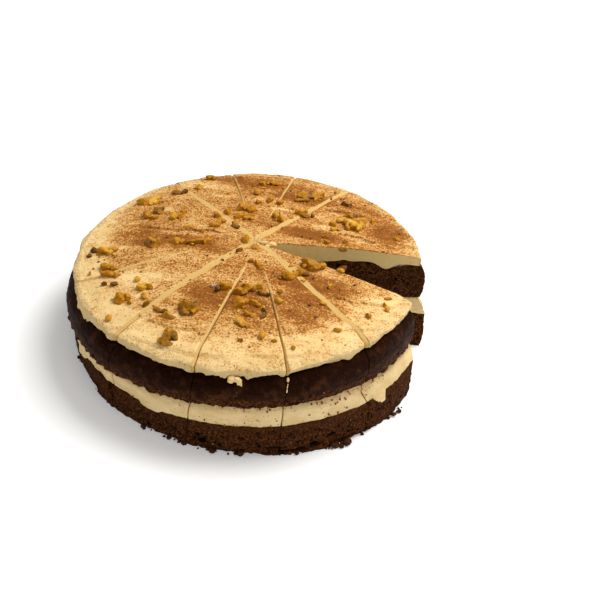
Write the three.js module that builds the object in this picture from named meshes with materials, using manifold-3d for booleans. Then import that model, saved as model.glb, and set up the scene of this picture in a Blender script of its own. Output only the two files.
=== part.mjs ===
// A round two-layer carrot cake, cut into fourteen portions with one portion taken away.
// Each portion is a lower sponge, a cream filling, an upper sponge and a domed cream icing,
// and chopped walnuts lie on the icing. Millimetres, +Z up, origin on the base under the middle.
import * as THREE from 'three';
import { mergeVertices } from 'three/addons/utils/BufferGeometryUtils.js';
import Module from 'manifold-3d';

// The knife cuts: straight lines right across the cake, all through one crossing point.
const CROSSING = { x: -2.4, y: 6.1 };
const CUT_DIRECTIONS = [-26.1, -0.4, 19, 52.6, 76.2, 102, 125.2]; // degrees from +X
const PORTIONS = 2 * CUT_DIRECTIONS.length;
const MISSING_PORTION = 0; // the one between the first two cuts
const HALF_SLIT = 0.3;
const LAYER_GAP = 0.3;
// Where the knife leaned, the icing's upper edge is dragged down into a band this wide, one
// width for each of the fourteen half cuts, in the order of their angles.
const BAND_WIDTHS = [0, 0, 0.3, 3, 0.9, 0.9, 3, 0.3, 0.3, 1.2, 3.2, 1.8, 0.8, 3.2];

// The baked layers sit a little off centre, and each rises towards the right by hand spreading.
const LOWER_CENTRE = { x: -1.7, y: -0.2 };
const UPPER_CENTRE = { x: -5.9, y: -3.1 };
const RIM = 125;

const LOWER_SPONGE_HEIGHT = 26.5;
const FILLING_TOP = 36;
const UPPER_SPONGE_TOP = 63.3;
const ICING_TOP = 79.3;
const ICING_DOME = 9.3; // how far the dome falls from its middle to its rim

const COLOURS = {
  sponge: 0x3a2116,
  crumb: 0x4a2c1a,
  filling: 0xd9c39a,
  icing: 0xecd6a8,
  walnut: 0xa8762a,
};

const radians = THREE.MathUtils.degToRad;

function share(x, y, centre) {
  return Math.hypot(x - centre.x, y - centre.y) / RIM;
}

// Rises in millimetres from the middle to the rim, towards +X and towards +Y.
function tilt(x, y, east, north) {
  return (east * x + north * y) / RIM;
}

function base() {
  return 0;
}

function lowerSpongeTop(x, y) {
  return LOWER_SPONGE_HEIGHT - 1.7 * share(x, y, LOWER_CENTRE) ** 4 + tilt(x, y, 5.1, 0.2);
}

function fillingTop(x, y) {
  return FILLING_TOP + 1.4 * share(x, y, UPPER_CENTRE) ** 4 + tilt(x, y, 7.8, -5.9);
}

function upperSpongeTop(x, y) {
  return UPPER_SPONGE_TOP - 2 * share(x, y, UPPER_CENTRE) ** 6 + tilt(x, y, 11.3, -2.7);
}

function icingTop(x, y) {
  const fall = ICING_DOME * 1.06 * share(x, y, UPPER_CENTRE) ** 2;
  return ICING_TOP - fall + tilt(x, y, 10.2, -2.5);
}

function above(surface) {
  return (x, y) => surface(x, y) + LAYER_GAP;
}

// Outlines wander in and out a little, the icing's ragged edge most of all.
function wander(angle, amount) {
  return amount * (0.5 * Math.sin(5 * angle + 1) + 0.5 * Math.sin(11 * angle + 2.4));
}

function ragged(angle, amount) {
  const slow = 0.4 * Math.sin(9 * angle + 0.4) + 0.35 * Math.sin(19 * angle + 1.9);
  return amount * (slow + 0.25 * Math.sin(37 * angle));
}

// Each layer's side profile is a list of [share of its height, radius].
const LAYERS = [
  {
    name: 'lower_sponge',
    colour: COLOURS.crumb,
    low: base,
    high: lowerSpongeTop,
    lowCentre: { x: 0, y: 0 },
    highCentre: LOWER_CENTRE,
    profile: [[0, 126.2], [0.55, 127], [1, 126.4]],
    outline: (angle) => wander(angle, 0.5),
    across: 6,
    outward: 3,
  },
  {
    name: 'filling',
    colour: COLOURS.filling,
    low: above(lowerSpongeTop),
    high: fillingTop,
    lowCentre: LOWER_CENTRE,
    highCentre: UPPER_CENTRE,
    profile: [[0, 125.8], [0.5, 125.6], [1, 123.6]],
    outline: (angle) => ragged(angle, 0.8),
    across: 6,
    outward: 3,
  },
  {
    name: 'upper_sponge',
    colour: COLOURS.sponge,
    low: above(fillingTop),
    high: upperSpongeTop,
    lowCentre: UPPER_CENTRE,
    highCentre: UPPER_CENTRE,
    profile: [[0, 124.4], [0.14, 125.8], [0.5, 126.8], [0.8, 125.2], [0.93, 122.8], [1, 119.8]],
    outline: (angle) => wander(angle, 0.7),
    across: 6,
    outward: 3,
  },
  {
    name: 'icing',
    colour: COLOURS.icing,
    low: above(upperSpongeTop),
    high: icingTop,
    lowCentre: UPPER_CENTRE,
    highCentre: UPPER_CENTRE,
    profile: [[0, 120.6], [0.3, 121.9], [0.65, 121.2], [0.86, 119.8], [1, 117]],
    outline: (angle) => ragged(angle, 1.4),
    across: 7,
    outward: 6,
    banded: true,
  },
];

// The largest walnut pieces: place of the middle, length, width, height and turn in degrees.
const WALNUTS = [
  { x: -53, y: -98, size: [15, 9, 8], turn: 62 },
  { x: -41, y: -71, size: [12, 11, 9], turn: 10 },
  { x: 36, y: 77, size: [17, 10, 9], turn: 8 },
  { x: -84, y: 67, size: [17, 8, 7], turn: 28 },
  { x: 38, y: -21, size: [14, 9, 8], turn: -20 },
  { x: 67, y: 35, size: [12, 10, 9], turn: 5 },
  { x: -106, y: -2, size: [14, 7, 6], turn: -5 },
  { x: -74, y: 5, size: [10, 10, 8], turn: 40 },
];

// Smaller pieces lie in loose groups: middle, how many, how far apart and how large.
const CRUMB_GROUPS = [
  { x: -76, y: 47, count: 3, spread: 9, size: 9.5 },
  { x: -101, y: -26, count: 3, spread: 6, size: 8.5 },
  { x: 21, y: -34, count: 2, spread: 4, size: 8 },
  { x: 31, y: -31, count: 1, spread: 0, size: 8 },
  { x: -12, y: 52, count: 5, spread: 10, size: 7 },
  { x: -87, y: -60, count: 1, spread: 0, size: 7 },
  { x: -72, y: -49, count: 2, spread: 4, size: 6.5 },
  { x: -8, y: -53, count: 4, spread: 8, size: 7 },
  { x: -9, y: -65, count: 1, spread: 0, size: 7.5 },
  { x: -52, y: 24, count: 3, spread: 12, size: 6.5 },
  { x: -44, y: 92, count: 3, spread: 12, size: 6 },
  { x: -60, y: -72, count: 3, spread: 7, size: 5.5 },
  { x: -24, y: 30, count: 3, spread: 10, size: 6 },
  { x: 8, y: 68, count: 4, spread: 12, size: 6 },
  { x: 52, y: 47, count: 4, spread: 14, size: 6.5 },
  { x: 60, y: 72, count: 2, spread: 6, size: 6 },
  { x: -42, y: -50, count: 2, spread: 6, size: 6 },
  { x: 4, y: -76, count: 2, spread: 8, size: 5.5 },
];

function chance(seed) {
  const wave = Math.sin(seed * 127.1 + 311.7) * 43758.5453;
  return wave - Math.floor(wave);
}

function cutAngle(index) {
  const turns = Math.floor(index / CUT_DIRECTIONS.length);
  return radians(CUT_DIRECTIONS[index % CUT_DIRECTIONS.length] + 180 * turns);
}

// A dragged band lies on the wall that faces the front, on one side of the slit.
function bandInsets(portion) {
  const start = portion % PORTIONS;
  const end = (portion + 1) % PORTIONS;
  const atStart = Math.cos(cutAngle(start)) > 0 ? BAND_WIDTHS[start] : 0;
  const atEnd = Math.cos(cutAngle(end)) < 0 ? BAND_WIDTHS[end] : 0;
  return [atStart, atEnd];
}

// The tip of a portion whose two cut faces stand back from the cut lines by the given insets.
function tipOf(startAngle, endAngle, startInset, endInset) {
  const spread = Math.sin(endAngle - startAngle);
  return {
    x: CROSSING.x + (startInset * Math.cos(endAngle) + endInset * Math.cos(startAngle)) / spread,
    y: CROSSING.y + (startInset * Math.sin(endAngle) + endInset * Math.sin(startAngle)) / spread,
  };
}

// How far a ray runs from the tip until it meets the layer's outline.
function reach(tip, angle, centre, radius, outline) {
  const step = { x: Math.cos(angle), y: Math.sin(angle) };
  const from = { x: tip.x - centre.x, y: tip.y - centre.y };
  const along = from.x * step.x + from.y * step.y;
  const square = from.x ** 2 + from.y ** 2;
  let length = 0;
  let limit = radius;
  for (let pass = 0; pass < 3; pass += 1) {
    length = -along + Math.sqrt(along ** 2 - square + limit ** 2);
    limit = radius + outline(Math.atan2(from.y + length * step.y, from.x + length * step.x));
  }
  return length;
}

// One layer of one portion, as a closed grid: across the wedge, outward and upward.
function portionGeometry(layer, portion) {
  const startAngle = cutAngle(portion);
  const endAngle = cutAngle(portion + 1);
  const bands = layer.banded ? bandInsets(portion) : [0, 0];
  const { across, outward, profile } = layer;
  const upward = profile.length - 1;
  const positions = [];
  const numbers = new Map();

  function vertex(i, j, k) {
    const key = j === 0 ? `tip ${k}` : `${i} ${j} ${k}`;
    if (!numbers.has(key)) {
      const [rise, radius] = profile[k];
      const band = k === upward ? bands : [0, 0];
      const tip = tipOf(startAngle, endAngle, HALF_SLIT + band[0], HALF_SLIT + band[1]);
      const angle = startAngle + ((endAngle - startAngle) * i) / across;
      const centre = {
        x: THREE.MathUtils.lerp(layer.lowCentre.x, layer.highCentre.x, rise),
        y: THREE.MathUtils.lerp(layer.lowCentre.y, layer.highCentre.y, rise),
      };
      const length = (reach(tip, angle, centre, radius, layer.outline) * j) / outward;
      const x = tip.x + length * Math.cos(angle);
      const y = tip.y + length * Math.sin(angle);
      const z = THREE.MathUtils.lerp(layer.low(x, y), layer.high(x, y), rise);
      numbers.set(key, positions.length / 3);
      positions.push(x, y, z);
    }
    return numbers.get(key);
  }

  const faces = [];
  function quad(a, b, c, d) {
    for (const [p, q, r] of [[a, b, c], [a, c, d]]) {
      if (p !== q && q !== r && r !== p) faces.push(p, q, r);
    }
  }
  for (let i = 0; i < across; i += 1) {
    for (let j = 0; j < outward; j += 1) {
      const top = [[i, j], [i, j + 1], [i + 1, j + 1], [i + 1, j]];
      quad(...top.map(([a, b]) => vertex(a, b, upward)));
      quad(...top.reverse().map(([a, b]) => vertex(a, b, 0)));
    }
    for (let k = 0; k < upward; k += 1) {
      const rim = [[i, k], [i + 1, k], [i + 1, k + 1], [i, k + 1]];
      quad(...rim.map(([a, c]) => vertex(a, outward, c)));
    }
  }
  for (let j = 0; j < outward; j += 1) {
    for (let k = 0; k < upward; k += 1) {
      const wall = [[j, k], [j, k + 1], [j + 1, k + 1], [j + 1, k]];
      quad(...wall.map(([b, c]) => vertex(across, b, c)));
      quad(...wall.reverse().map(([b, c]) => vertex(0, b, c)));
    }
  }
  const geometry = new THREE.BufferGeometry();
  geometry.setAttribute('position', new THREE.Float32BufferAttribute(positions, 3));
  geometry.setIndex(faces);
  return geometry;
}

// A broken walnut piece: a rough rounded lump, pushed up from below where it meets the icing.
function nutGeometry(nut, detail, seed, floor) {
  const geometry = new THREE.IcosahedronGeometry(0.5, detail);
  geometry.deleteAttribute('normal');
  geometry.deleteAttribute('uv');
  const lump = mergeVertices(geometry);
  const point = new THREE.Vector3();
  const place = lump.getAttribute('position');
  const [length, width, height] = nut.size;
  for (let n = 0; n < place.count; n += 1) {
    point.fromBufferAttribute(place, n);
    point.multiplyScalar(0.86 + 0.28 * chance(seed * 57 + n));
    point.set(point.x * length, point.y * width, point.z * height);
    point.applyAxisAngle(new THREE.Vector3(0, 0, 1), radians(nut.turn));
    point.add(new THREE.Vector3(nut.x, nut.y, icingTop(nut.x, nut.y) + 0.3 * height));
    if (floor) point.z = Math.max(point.z, floor(point.x, point.y));
    place.setXYZ(n, point.x, point.y, point.z);
  }
  return lump;
}

// Moves a piece off the cut lines of the portion that it lies on, and names that portion.
function settle(nut) {
  const half = 0.5 * Math.hypot(nut.size[0], nut.size[1]) + 0.6;
  const from = { x: nut.x - CROSSING.x, y: nut.y - CROSSING.y };
  const turn = Math.atan2(from.y, from.x);
  const first = cutAngle(0);
  const angle = first + ((((turn - first) % (2 * Math.PI)) + 2 * Math.PI) % (2 * Math.PI));
  let portion = PORTIONS - 1;
  while (cutAngle(portion) > angle) portion -= 1;
  for (const [edge, side] of [[portion, 1], [portion + 1, -1]]) {
    const normal = { x: -Math.sin(cutAngle(edge)) * side, y: Math.cos(cutAngle(edge)) * side };
    const clear = (nut.x - CROSSING.x) * normal.x + (nut.y - CROSSING.y) * normal.y;
    const push = Math.max(0, half + BAND_WIDTHS[edge % PORTIONS] - clear);
    nut.x += push * normal.x;
    nut.y += push * normal.y;
  }
  return portion;
}

function crumbs() {
  const found = [];
  for (const group of CRUMB_GROUPS) {
    for (let n = 0; n < group.count; n += 1) {
      const seed = found.length + 1;
      const angle = 2 * Math.PI * (n / group.count + 0.3 * chance(seed));
      const away = group.spread * (0.35 + 0.5 * chance(seed + 0.3));
      const size = group.size * (0.75 + 0.4 * chance(seed + 0.6));
      const nut = {
        x: group.x + away * Math.cos(angle),
        y: group.y + away * Math.sin(angle),
        size: [size, size * 0.75, size * 0.7],
        turn: 360 * chance(seed + 0.9),
      };
      nut.portion = settle(nut);
      nut.seed = seed;
      found.push(nut);
    }
  }
  const apart = (a, b) => Math.hypot(a.x - b.x, a.y - b.y) > (a.size[0] + b.size[0]) / 2 + 1;
  return found.filter((nut) => WALNUTS.every((large) => apart(nut, large)));
}

const wasm = await Module();
wasm.setup();

function solidOf(geometry) {
  return new wasm.Manifold(new wasm.Mesh({
    numProp: 3,
    vertProperties: new Float32Array(geometry.getAttribute('position').array),
    triVerts: new Uint32Array(geometry.getIndex().array),
  }));
}

function geometryOf(solid) {
  const { vertProperties, triVerts } = solid.getMesh();
  const geometry = new THREE.BufferGeometry();
  geometry.setAttribute('position', new THREE.BufferAttribute(vertProperties, 3));
  geometry.setIndex(new THREE.BufferAttribute(triVerts, 1));
  return geometry;
}

function fuse(geometry, additions) {
  return geometryOf(additions.reduce((all, one) => all.add(solidOf(one)), solidOf(geometry)));
}

function addPiece(group, name, geometry, colour, roughness) {
  geometry.computeVertexNormals();
  const material = new THREE.MeshStandardMaterial({ color: colour, roughness, metalness: 0 });
  const mesh = new THREE.Mesh(geometry, material);
  mesh.name = name;
  group.add(mesh);
}

const cake = new THREE.Group();
const small = crumbs();

for (const layer of LAYERS) {
  for (let portion = 0; portion < PORTIONS; portion += 1) {
    if (portion === MISSING_PORTION) continue;
    let geometry = portionGeometry(layer, portion);
    if (layer.banded) {
      const mine = small.filter((nut) => nut.portion === portion);
      geometry = fuse(geometry, mine.map((nut) => nutGeometry(nut, 0, nut.seed)));
    }
    const name = `${layer.name}_${String(portion).padStart(2, '0')}`;
    addPiece(cake, name, geometry, layer.colour, 0.8);
  }
}

WALNUTS.forEach((nut, index) => {
  const floor = (x, y) => icingTop(x, y) + LAYER_GAP + 0.15;
  const geometry = nutGeometry(nut, 1, 200 + index, floor);
  addPiece(cake, `walnut_${String(index + 1).padStart(2, '0')}`, geometry, COLOURS.walnut, 0.5);
});

export default cake;
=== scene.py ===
"""A round carrot cake: two dark sponges with cream between them and a thick cream icing.

It is cut into fourteen portions and one of them is taken away. Every layer of every portion is
a piece of its own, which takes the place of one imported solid. Shapes are worked out in
millimetres from the same named values as the solids, and become metres when a mesh is made.
"""
import math

import bmesh
import bpy
import numpy as np
from mathutils import Matrix, Vector


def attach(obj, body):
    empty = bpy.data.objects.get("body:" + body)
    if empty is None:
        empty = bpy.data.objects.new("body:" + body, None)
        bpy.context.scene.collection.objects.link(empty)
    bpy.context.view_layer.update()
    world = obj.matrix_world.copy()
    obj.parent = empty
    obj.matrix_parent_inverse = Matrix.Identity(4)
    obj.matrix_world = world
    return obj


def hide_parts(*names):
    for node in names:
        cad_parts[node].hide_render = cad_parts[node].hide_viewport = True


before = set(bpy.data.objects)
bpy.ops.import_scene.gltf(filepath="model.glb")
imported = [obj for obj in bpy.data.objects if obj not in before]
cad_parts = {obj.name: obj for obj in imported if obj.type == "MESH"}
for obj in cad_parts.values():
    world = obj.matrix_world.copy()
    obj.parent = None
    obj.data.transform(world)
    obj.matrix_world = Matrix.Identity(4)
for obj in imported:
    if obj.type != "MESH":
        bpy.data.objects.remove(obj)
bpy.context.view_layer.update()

METRES = 0.001

# The camera stands where the photograph was taken from: metres and radians, then millimetres.
CAMERA_PLACE = (0.0, -0.74823, 0.59883)
CAMERA_YAW = 0.044134
CAMERA_PITCH = 0.644163
CAMERA_ROLL = 0.116992
CAMERA_LENS = 78
CAMERA_SENSOR = 36

# The knife cuts run right across the cake, all through one crossing point.
CROSSING = (-2.4, 6.1)
CUT_DIRECTIONS = (-26.1, -0.4, 19, 52.6, 76.2, 102, 125.2)
PORTIONS = 2 * len(CUT_DIRECTIONS)
MISSING_PORTION = 0
HALF_SLIT = 0.3
LAYER_GAP = 0.3
# The width of the band of cream that the knife dragged down beside each of the half cuts, in the
# order of their angles.
BAND_WIDTHS = (0, 0, 0.3, 3.6, 1, 1, 3, 0.3, 0.3, 1.5, 3.9, 1.5, 0.9, 3.7)
BAND_DEPTH = 0.6
WIDE_BAND = 2
NARROWEST_BAND = 0.5
# How far out the narrow cuts begin to show.
CUT_STARTS = {4: 42, 5: 46, 9: 48, 11: 30, 12: 34}
EARLIEST_START = 30
GAP_EDGES = (0, 1)
CLOSED_EDGES = (2, 7, 8)
# Half the width of each slit at the rim. Towards the crossing point the cream has closed it.
SLITS_AT_RIM = (0.3, 0.3, 0.08, 0.2, 0.25, 0.2, 0.2, 0.04, 0.04, 0.15, 0.45, 0.35, 0.35, 0.35)
SLIT_AT_CROSSING = 0.02
# The drag of the knife bows the upper edges of these cuts: (distance out, shift to the left).
BOWS = {
    3: ((0, 0), (35, -1.5), (64, -2.3), (101, -1.1), (122, 0)),
    6: ((0, 0), (33, 1.2), (60, 1.8), (99, 2.4), (122, 0.5)),
    9: ((0, 0), (30, -1.5), (57, -3.5), (82, -1.1), (104, 2.7), (117, 2), (126, 0)),
    10: ((0, 0), (40, -2.5), (78, -4.9), (112, -5.8), (134, -6.8)),
    11: ((0, 0), (35, 3), (65, 1.6), (92, 0.5), (117, -1), (130, 0)),
    13: ((0, 0), (67, 1.2), (95, 2.6), (105, 4.4), (116, 5.8), (124, 5), (134, 4.6)),
}
NO_SHIFT = ((0, 0), (1, 0))
# A shift fades out this far beside its cut, and its corners are rounded over this length.
BOW_SPREAD = 14
BOW_ROUNDING = 9
# Cuts lean on the outside only: from nothing at the first distance to all of it at the second.
LEAN_RANGE = (70, 124)
# These cuts lean, so on the outside the slit shifts to the left by height: (height, shift).
LEANS = {
    10: ((0, -8.5), (34, -8), (46, -6.9), (60, -6.8)),
    11: ((0, -2.8), (30, -2), (44, 0)),
    13: ((0, 10.5), (24, 12), (31, 8.5), (38, 4.5), (44, 6), (60, 6)),
}

LOWER_CENTRE = (-1.7, -0.2)
UPPER_CENTRE = (-5.9, -3.1)
RIM = 125
LOWER_SPONGE_HEIGHT = 26.5
FILLING_TOP = 36
UPPER_SPONGE_TOP = 63.3
ICING_TOP = 79.3
ICING_DOME = 9.3
# How far each surface rises from the middle to the rim, towards +X and towards +Y.
LOWER_TILT = (5.1, 0.2)
FILLING_TILT = (7.8, -5.9)
UPPER_TILT = (11.3, -2.7)
ICING_TILT = (10.2, -2.5)
# The upper sponge's shoulder rounds off between these radii, and the icing hangs over it.
SHOULDER_RADIUS = 122.8
UPPER_TOP_RADIUS = 119.8
ICING_BOTTOM_RADIUS = 120.6
# The radius at which the icing's top begins to turn down to its side.
ICING_SHOULDER = 119

# Mesh spacing along the outside, outward from the tip and up the side.
SIDE_STEP = 1.05
OUTWARD_STEP = 1.1
EDGE_ROWS = 6


def cut_angle(index):
    turns = index // len(CUT_DIRECTIONS)
    return math.radians(CUT_DIRECTIONS[index % len(CUT_DIRECTIONS)] + 180 * turns)


def share(x, y, centre):
    return np.hypot(x - centre[0], y - centre[1]) / RIM


def tilt(x, y, rises):
    east, north = rises
    return (east * x + north * y) / RIM


def chance(seed):
    wave = math.sin(seed * 127.1 + 311.7) * 43758.5453
    return wave - math.floor(wave)


# Noise on a lattice of seeded random values.

MASK = 0xFFFFFFFF
LATTICE_FACTORS = (374761393, 668265263, 1442695041, 974634777)
SCRAMBLE = 1274126177


def lattice(ix, iy, iz, seed):
    """A random value from 0 to 1 for each corner of the lattice."""
    a, b, c, d = LATTICE_FACTORS
    n = (ix * a + iy * b + iz * c + seed * d) & MASK
    n = ((n ^ (n >> 13)) * SCRAMBLE) & MASK
    n = n ^ (n >> 16)
    return (n & 0xFFFF) / 65535


def noise(points, size, seed):
    """Smooth noise from -1 to 1 with features of that size, at points of shape (N, 3)."""
    scaled = points / np.asarray(size, float)
    corner = np.floor(scaled).astype(np.int64)
    part = scaled - corner
    part = part * part * (3 - 2 * part)
    total = np.zeros(len(points))
    for dx in (0, 1):
        wx = part[:, 0] if dx else 1 - part[:, 0]
        for dy in (0, 1):
            wy = part[:, 1] if dy else 1 - part[:, 1]
            for dz in (0, 1):
                wz = part[:, 2] if dz else 1 - part[:, 2]
                value = lattice(corner[:, 0] + dx, corner[:, 1] + dy, corner[:, 2] + dz, seed)
                total += wx * wy * wz * value
    return 2 * total - 1


def layered_noise(points, size, seed, octaves=3):
    """Noise with ever finer and lower features added, still from -1 to 1."""
    size = np.asarray(size, float)
    total = np.zeros(len(points))
    for octave in range(octaves):
        total += noise(points, size / 2**octave, seed + octave) * 0.5**octave
    return total / (2 - 0.5 ** (octaves - 1))


def pores(points, size, seed, presence, smallest, largest):
    """Depth in millimetres of round bubbles strewn through space, one chance for each cell."""
    corner = np.floor(points / size).astype(np.int64)
    depth = np.zeros(len(points))
    for dx in (-1, 0, 1):
        for dy in (-1, 0, 1):
            for dz in (-1, 0, 1):
                cell = (corner[:, 0] + dx, corner[:, 1] + dy, corner[:, 2] + dz)
                middle = [(cell[axis] + lattice(*cell, seed + axis)) * size for axis in range(3)]
                away = np.sqrt(sum((points[:, axis] - middle[axis]) ** 2 for axis in range(3)))
                radius = smallest + (largest - smallest) * lattice(*cell, seed + 3) ** 2
                radius = np.where(lattice(*cell, seed + 4) < presence, radius, 1e-3)
                depth = np.maximum(depth, radius * np.sqrt(np.maximum(0, 1 - (away / radius) ** 2)))
    return depth


def flat(x, y):
    """Points of shape (N, 3) in the plane z = 0."""
    x, y = np.broadcast_arrays(np.asarray(x, float), np.asarray(y, float))
    return np.stack([x.ravel(), y.ravel(), np.zeros(x.size)], -1)


def plane_noise(x, y, size, seed, octaves=2):
    return layered_noise(flat(x, y), size, seed, octaves).reshape(np.shape(x))


def smoothstep(low, high, value):
    part = np.clip((value - low) / (high - low), 0, 1)
    return part * part * (3 - 2 * part)


# The surfaces between the layers.

# The corner of the lower sponge that stands up beside the gap: place, spread and height.
RAISED_CORNER = (116, -58, 34, 3.6)
# Where the icing dips into the upper sponge: place, spread and depth.
DIPS = (
    (91, 5, 6, 5.5), (61, 5, 4, -1.6), (73, 5, 7, -1), (40, 6, 6, 1.5), (60, -26, 7, 2),
    (90, -40, 6, 3),
)


def mound(x, y, spot):
    middle_x, middle_y, spread, height = spot
    return height * np.exp(-((x - middle_x) ** 2 + (y - middle_y) ** 2) / spread**2)


def base(x, y):
    return np.zeros(np.shape(x))


def lower_sponge_top(x, y):
    fall = 1.7 * share(x, y, LOWER_CENTRE) ** 4
    wave = 0.5 * plane_noise(x, y, 11, 301)
    corner = mound(x, y, RAISED_CORNER)
    return LOWER_SPONGE_HEIGHT - fall + tilt(x, y, LOWER_TILT) + wave + corner


def filling_top(x, y):
    rise = 1.4 * share(x, y, UPPER_CENTRE) ** 4
    wave = 0.45 * plane_noise(x, y, 10, 311)
    return FILLING_TOP + rise + tilt(x, y, FILLING_TILT) + wave


def upper_sponge_top(x, y):
    fall = 2 * share(x, y, UPPER_CENTRE) ** 6
    wave = 1.5 * plane_noise(x, y, 15, 321, 3)
    dips = sum(mound(x, y, dip) for dip in DIPS)
    return UPPER_SPONGE_TOP - fall + tilt(x, y, UPPER_TILT) + wave - dips


def icing_top(x, y):
    fall = ICING_DOME * 1.06 * share(x, y, UPPER_CENTRE) ** 2
    return ICING_TOP - fall + tilt(x, y, ICING_TILT)


def above(surface):
    """The surface of the next layer's underside, a small gap higher."""
    return lambda x, y: surface(x, y) + LAYER_GAP


# The outlines of the layers, as an addition to the radius by direction.

def wander(angle, amount):
    return amount * (0.5 * np.sin(5 * angle + 1) + 0.5 * np.sin(11 * angle + 2.4))


def ragged(angle, amount):
    slow = 0.4 * np.sin(9 * angle + 0.4) + 0.35 * np.sin(19 * angle + 1.9)
    return amount * (slow + 0.25 * np.sin(37 * angle))


def around(angle, size, seed):
    """Noise along the rim, whose features are that many millimetres long."""
    x = RIM * np.cos(angle)
    y = RIM * np.sin(angle)
    return plane_noise(x, y, size, seed)


# Where the icing stands back from the sponge's shoulder, by direction in degrees.
ICING_RETREAT = (
    (-180, 0.5), (-150, 0.3), (-128, 1.2), (-116, 3.6), (-104, 2.4), (-96, 0), (-84, 0.4), (-72, 1.6),
    (-60, 1.5), (-50, 1.2), (-38, 2.4), (-28, 1.8), (0, 0), (60, 0.5), (120, 0), (180, 0.5),
)


def icing_outline(angle, rise):
    near_edge = 1 - smoothstep(0, 0.45, rise)
    degrees = np.degrees(np.arctan2(np.sin(angle), np.cos(angle)))
    torn = 1 + 0.8 * (1 - smoothstep(-106, -92, degrees))
    rough = 1.3 * around(angle, 8, 401) * torn + around(angle, 3.2, 405)
    rough += 0.6 * around(angle, 1.6, 407)
    soft = 0.7 * around(angle, 9, 409)
    back = np.interp(degrees, *zip(*ICING_RETREAT))
    low = ragged(angle, 0.7) + rough - back + 0.2
    return near_edge * low + (1 - near_edge) * (ragged(angle, 1.2) + soft - 0.5 * back)


def icing_hang(angle):
    """How far the icing's lower edge sags over the sponge's rounded shoulder."""
    edge = ICING_BOTTOM_RADIUS + icing_outline(angle, np.zeros(np.shape(angle)))
    over_top = np.clip(edge - UPPER_TOP_RADIUS, 0, SHOULDER_RADIUS - UPPER_TOP_RADIUS)
    over_shoulder = np.clip(edge - SHOULDER_RADIUS, 0, 4)
    return 0.1 - 0.63 * over_top - 1.3 * over_shoulder


# The cream smeared down the lower sponge, by direction: middle, half width and length down.
SMEARS = (
    (-48, 2.4, 1), (-46.2, 2.4, 3), (-44.6, 2.6, 4.5), (-42.9, 2.2, 6.5), (-152, 4, 1.8),
    (-118, 5, 1.6), (-82, 7, 0.5), (38, 6, 3), (128, 5, 3.5),
)


def smear(angle):
    degrees = np.degrees(angle)
    length = np.zeros(np.shape(angle))
    for middle, half, down in SMEARS:
        away = np.abs((degrees - middle + 180) % 360 - 180)
        length = np.maximum(length, down * (1 - smoothstep(0.35 * half, half, away)))
    return length


def filling_outline(angle, rise):
    low = 1 - smoothstep(0, 0.35, rise)
    thick = 1.5 * smoothstep(0.2, 1.5, smear(angle)) + 2.2 * smoothstep(3, 8, smear(angle))
    rough = 0.5 * around(angle, 6, 421) + 0.35 * around(angle, 2.4, 425)
    soft = 0.4 * around(angle, 9, 429)
    tucked = 0.9 * smoothstep(0.55, 1, rise)
    return ragged(angle, 0.8) + low * (thick + rough) + (1 - low) * soft - tucked


def filling_hang(angle):
    fringe = 0.9 * around(angle, 5, 433) + 0.6 * around(angle, 2, 435)
    return -smear(angle) * (1 + 0.12 * around(angle, 4, 437)) - 0.25 - np.maximum(0, fringe)


def upper_outline(angle, rise):
    skirt = 1 - smoothstep(0, 0.14, rise)
    rough = 1.1 * around(angle, 5, 441) + 0.9 * around(angle, 2.4, 443)
    return wander(angle, 0.7) + skirt * (1 + rough)


def upper_hang(angle):
    lobes = np.maximum(0, around(angle, 4.5, 445) - 0.05)
    return -0.3 - 2.4 * lobes - 0.8 * around(angle, 2.2, 447)


def lower_outline(angle, rise):
    foot = 1 - smoothstep(0, 0.2, rise)
    rough = 1.2 * around(angle, 7, 451) + 1.1 * around(angle, 2.6, 453)
    return wander(angle, 0.5) + foot * (rough - 0.6)


def no_hang(angle):
    return np.zeros(np.shape(angle))


# Each layer's side profile is a list of (share of its height, radius).
LAYERS = {
    "lower_sponge": {
        "low": base,
        "high": lower_sponge_top,
        "centres": ((0, 0), LOWER_CENTRE),
        "profile": ((0, 126.2), (0.55, 127), (1, 126.4)),
        "outline": lower_outline,
        "hang": no_hang,
        "rows": 26,
    },
    "filling": {
        "low": above(lower_sponge_top),
        "high": filling_top,
        "centres": (LOWER_CENTRE, UPPER_CENTRE),
        "profile": ((0, 125.8), (0.5, 125.6), (1, 123.6)),
        "outline": filling_outline,
        "hang": filling_hang,
        "rows": 12,
    },
    "upper_sponge": {
        "low": above(filling_top),
        "high": upper_sponge_top,
        "centres": (UPPER_CENTRE, UPPER_CENTRE),
        "profile": (
            (0, 124.4), (0.14, 125.8), (0.5, 126.8), (0.8, 125.2), (0.93, SHOULDER_RADIUS),
            (1, UPPER_TOP_RADIUS),
        ),
        "outline": upper_outline,
        "hang": upper_hang,
        "rows": 30,
    },
    "icing": {
        "low": above(upper_sponge_top),
        "high": icing_top,
        "centres": (UPPER_CENTRE, UPPER_CENTRE),
        "profile": (
            (0, ICING_BOTTOM_RADIUS), (0.3, 121.5), (0.75, 121.8), (0.93, 121.8), (0.985, 121.4),
            (1, 120.6),
        ),
        "outline": icing_outline,
        "hang": icing_hang,
        "rows": 14,
    },
}


def smooth_profile(profile, rise):
    spread = np.linspace(-0.035, 0.035, 7)
    return np.mean([np.interp(rise + shift, *zip(*profile)) for shift in spread], axis=0)


def reach(tip, angle, centre, radius, outline):
    """How far rays run from the tip until they meet the layer's outline."""
    from_x = tip[0] - centre[0]
    from_y = tip[1] - centre[1]
    along = from_x * np.cos(angle) + from_y * np.sin(angle)
    square = from_x**2 + from_y**2
    limit = radius
    for _ in range(3):
        length = -along + np.sqrt(along**2 - square + limit**2)
        seen = np.arctan2(from_y + length * np.sin(angle), from_x + length * np.cos(angle))
        limit = radius + outline(seen)
    return length, seen


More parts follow.
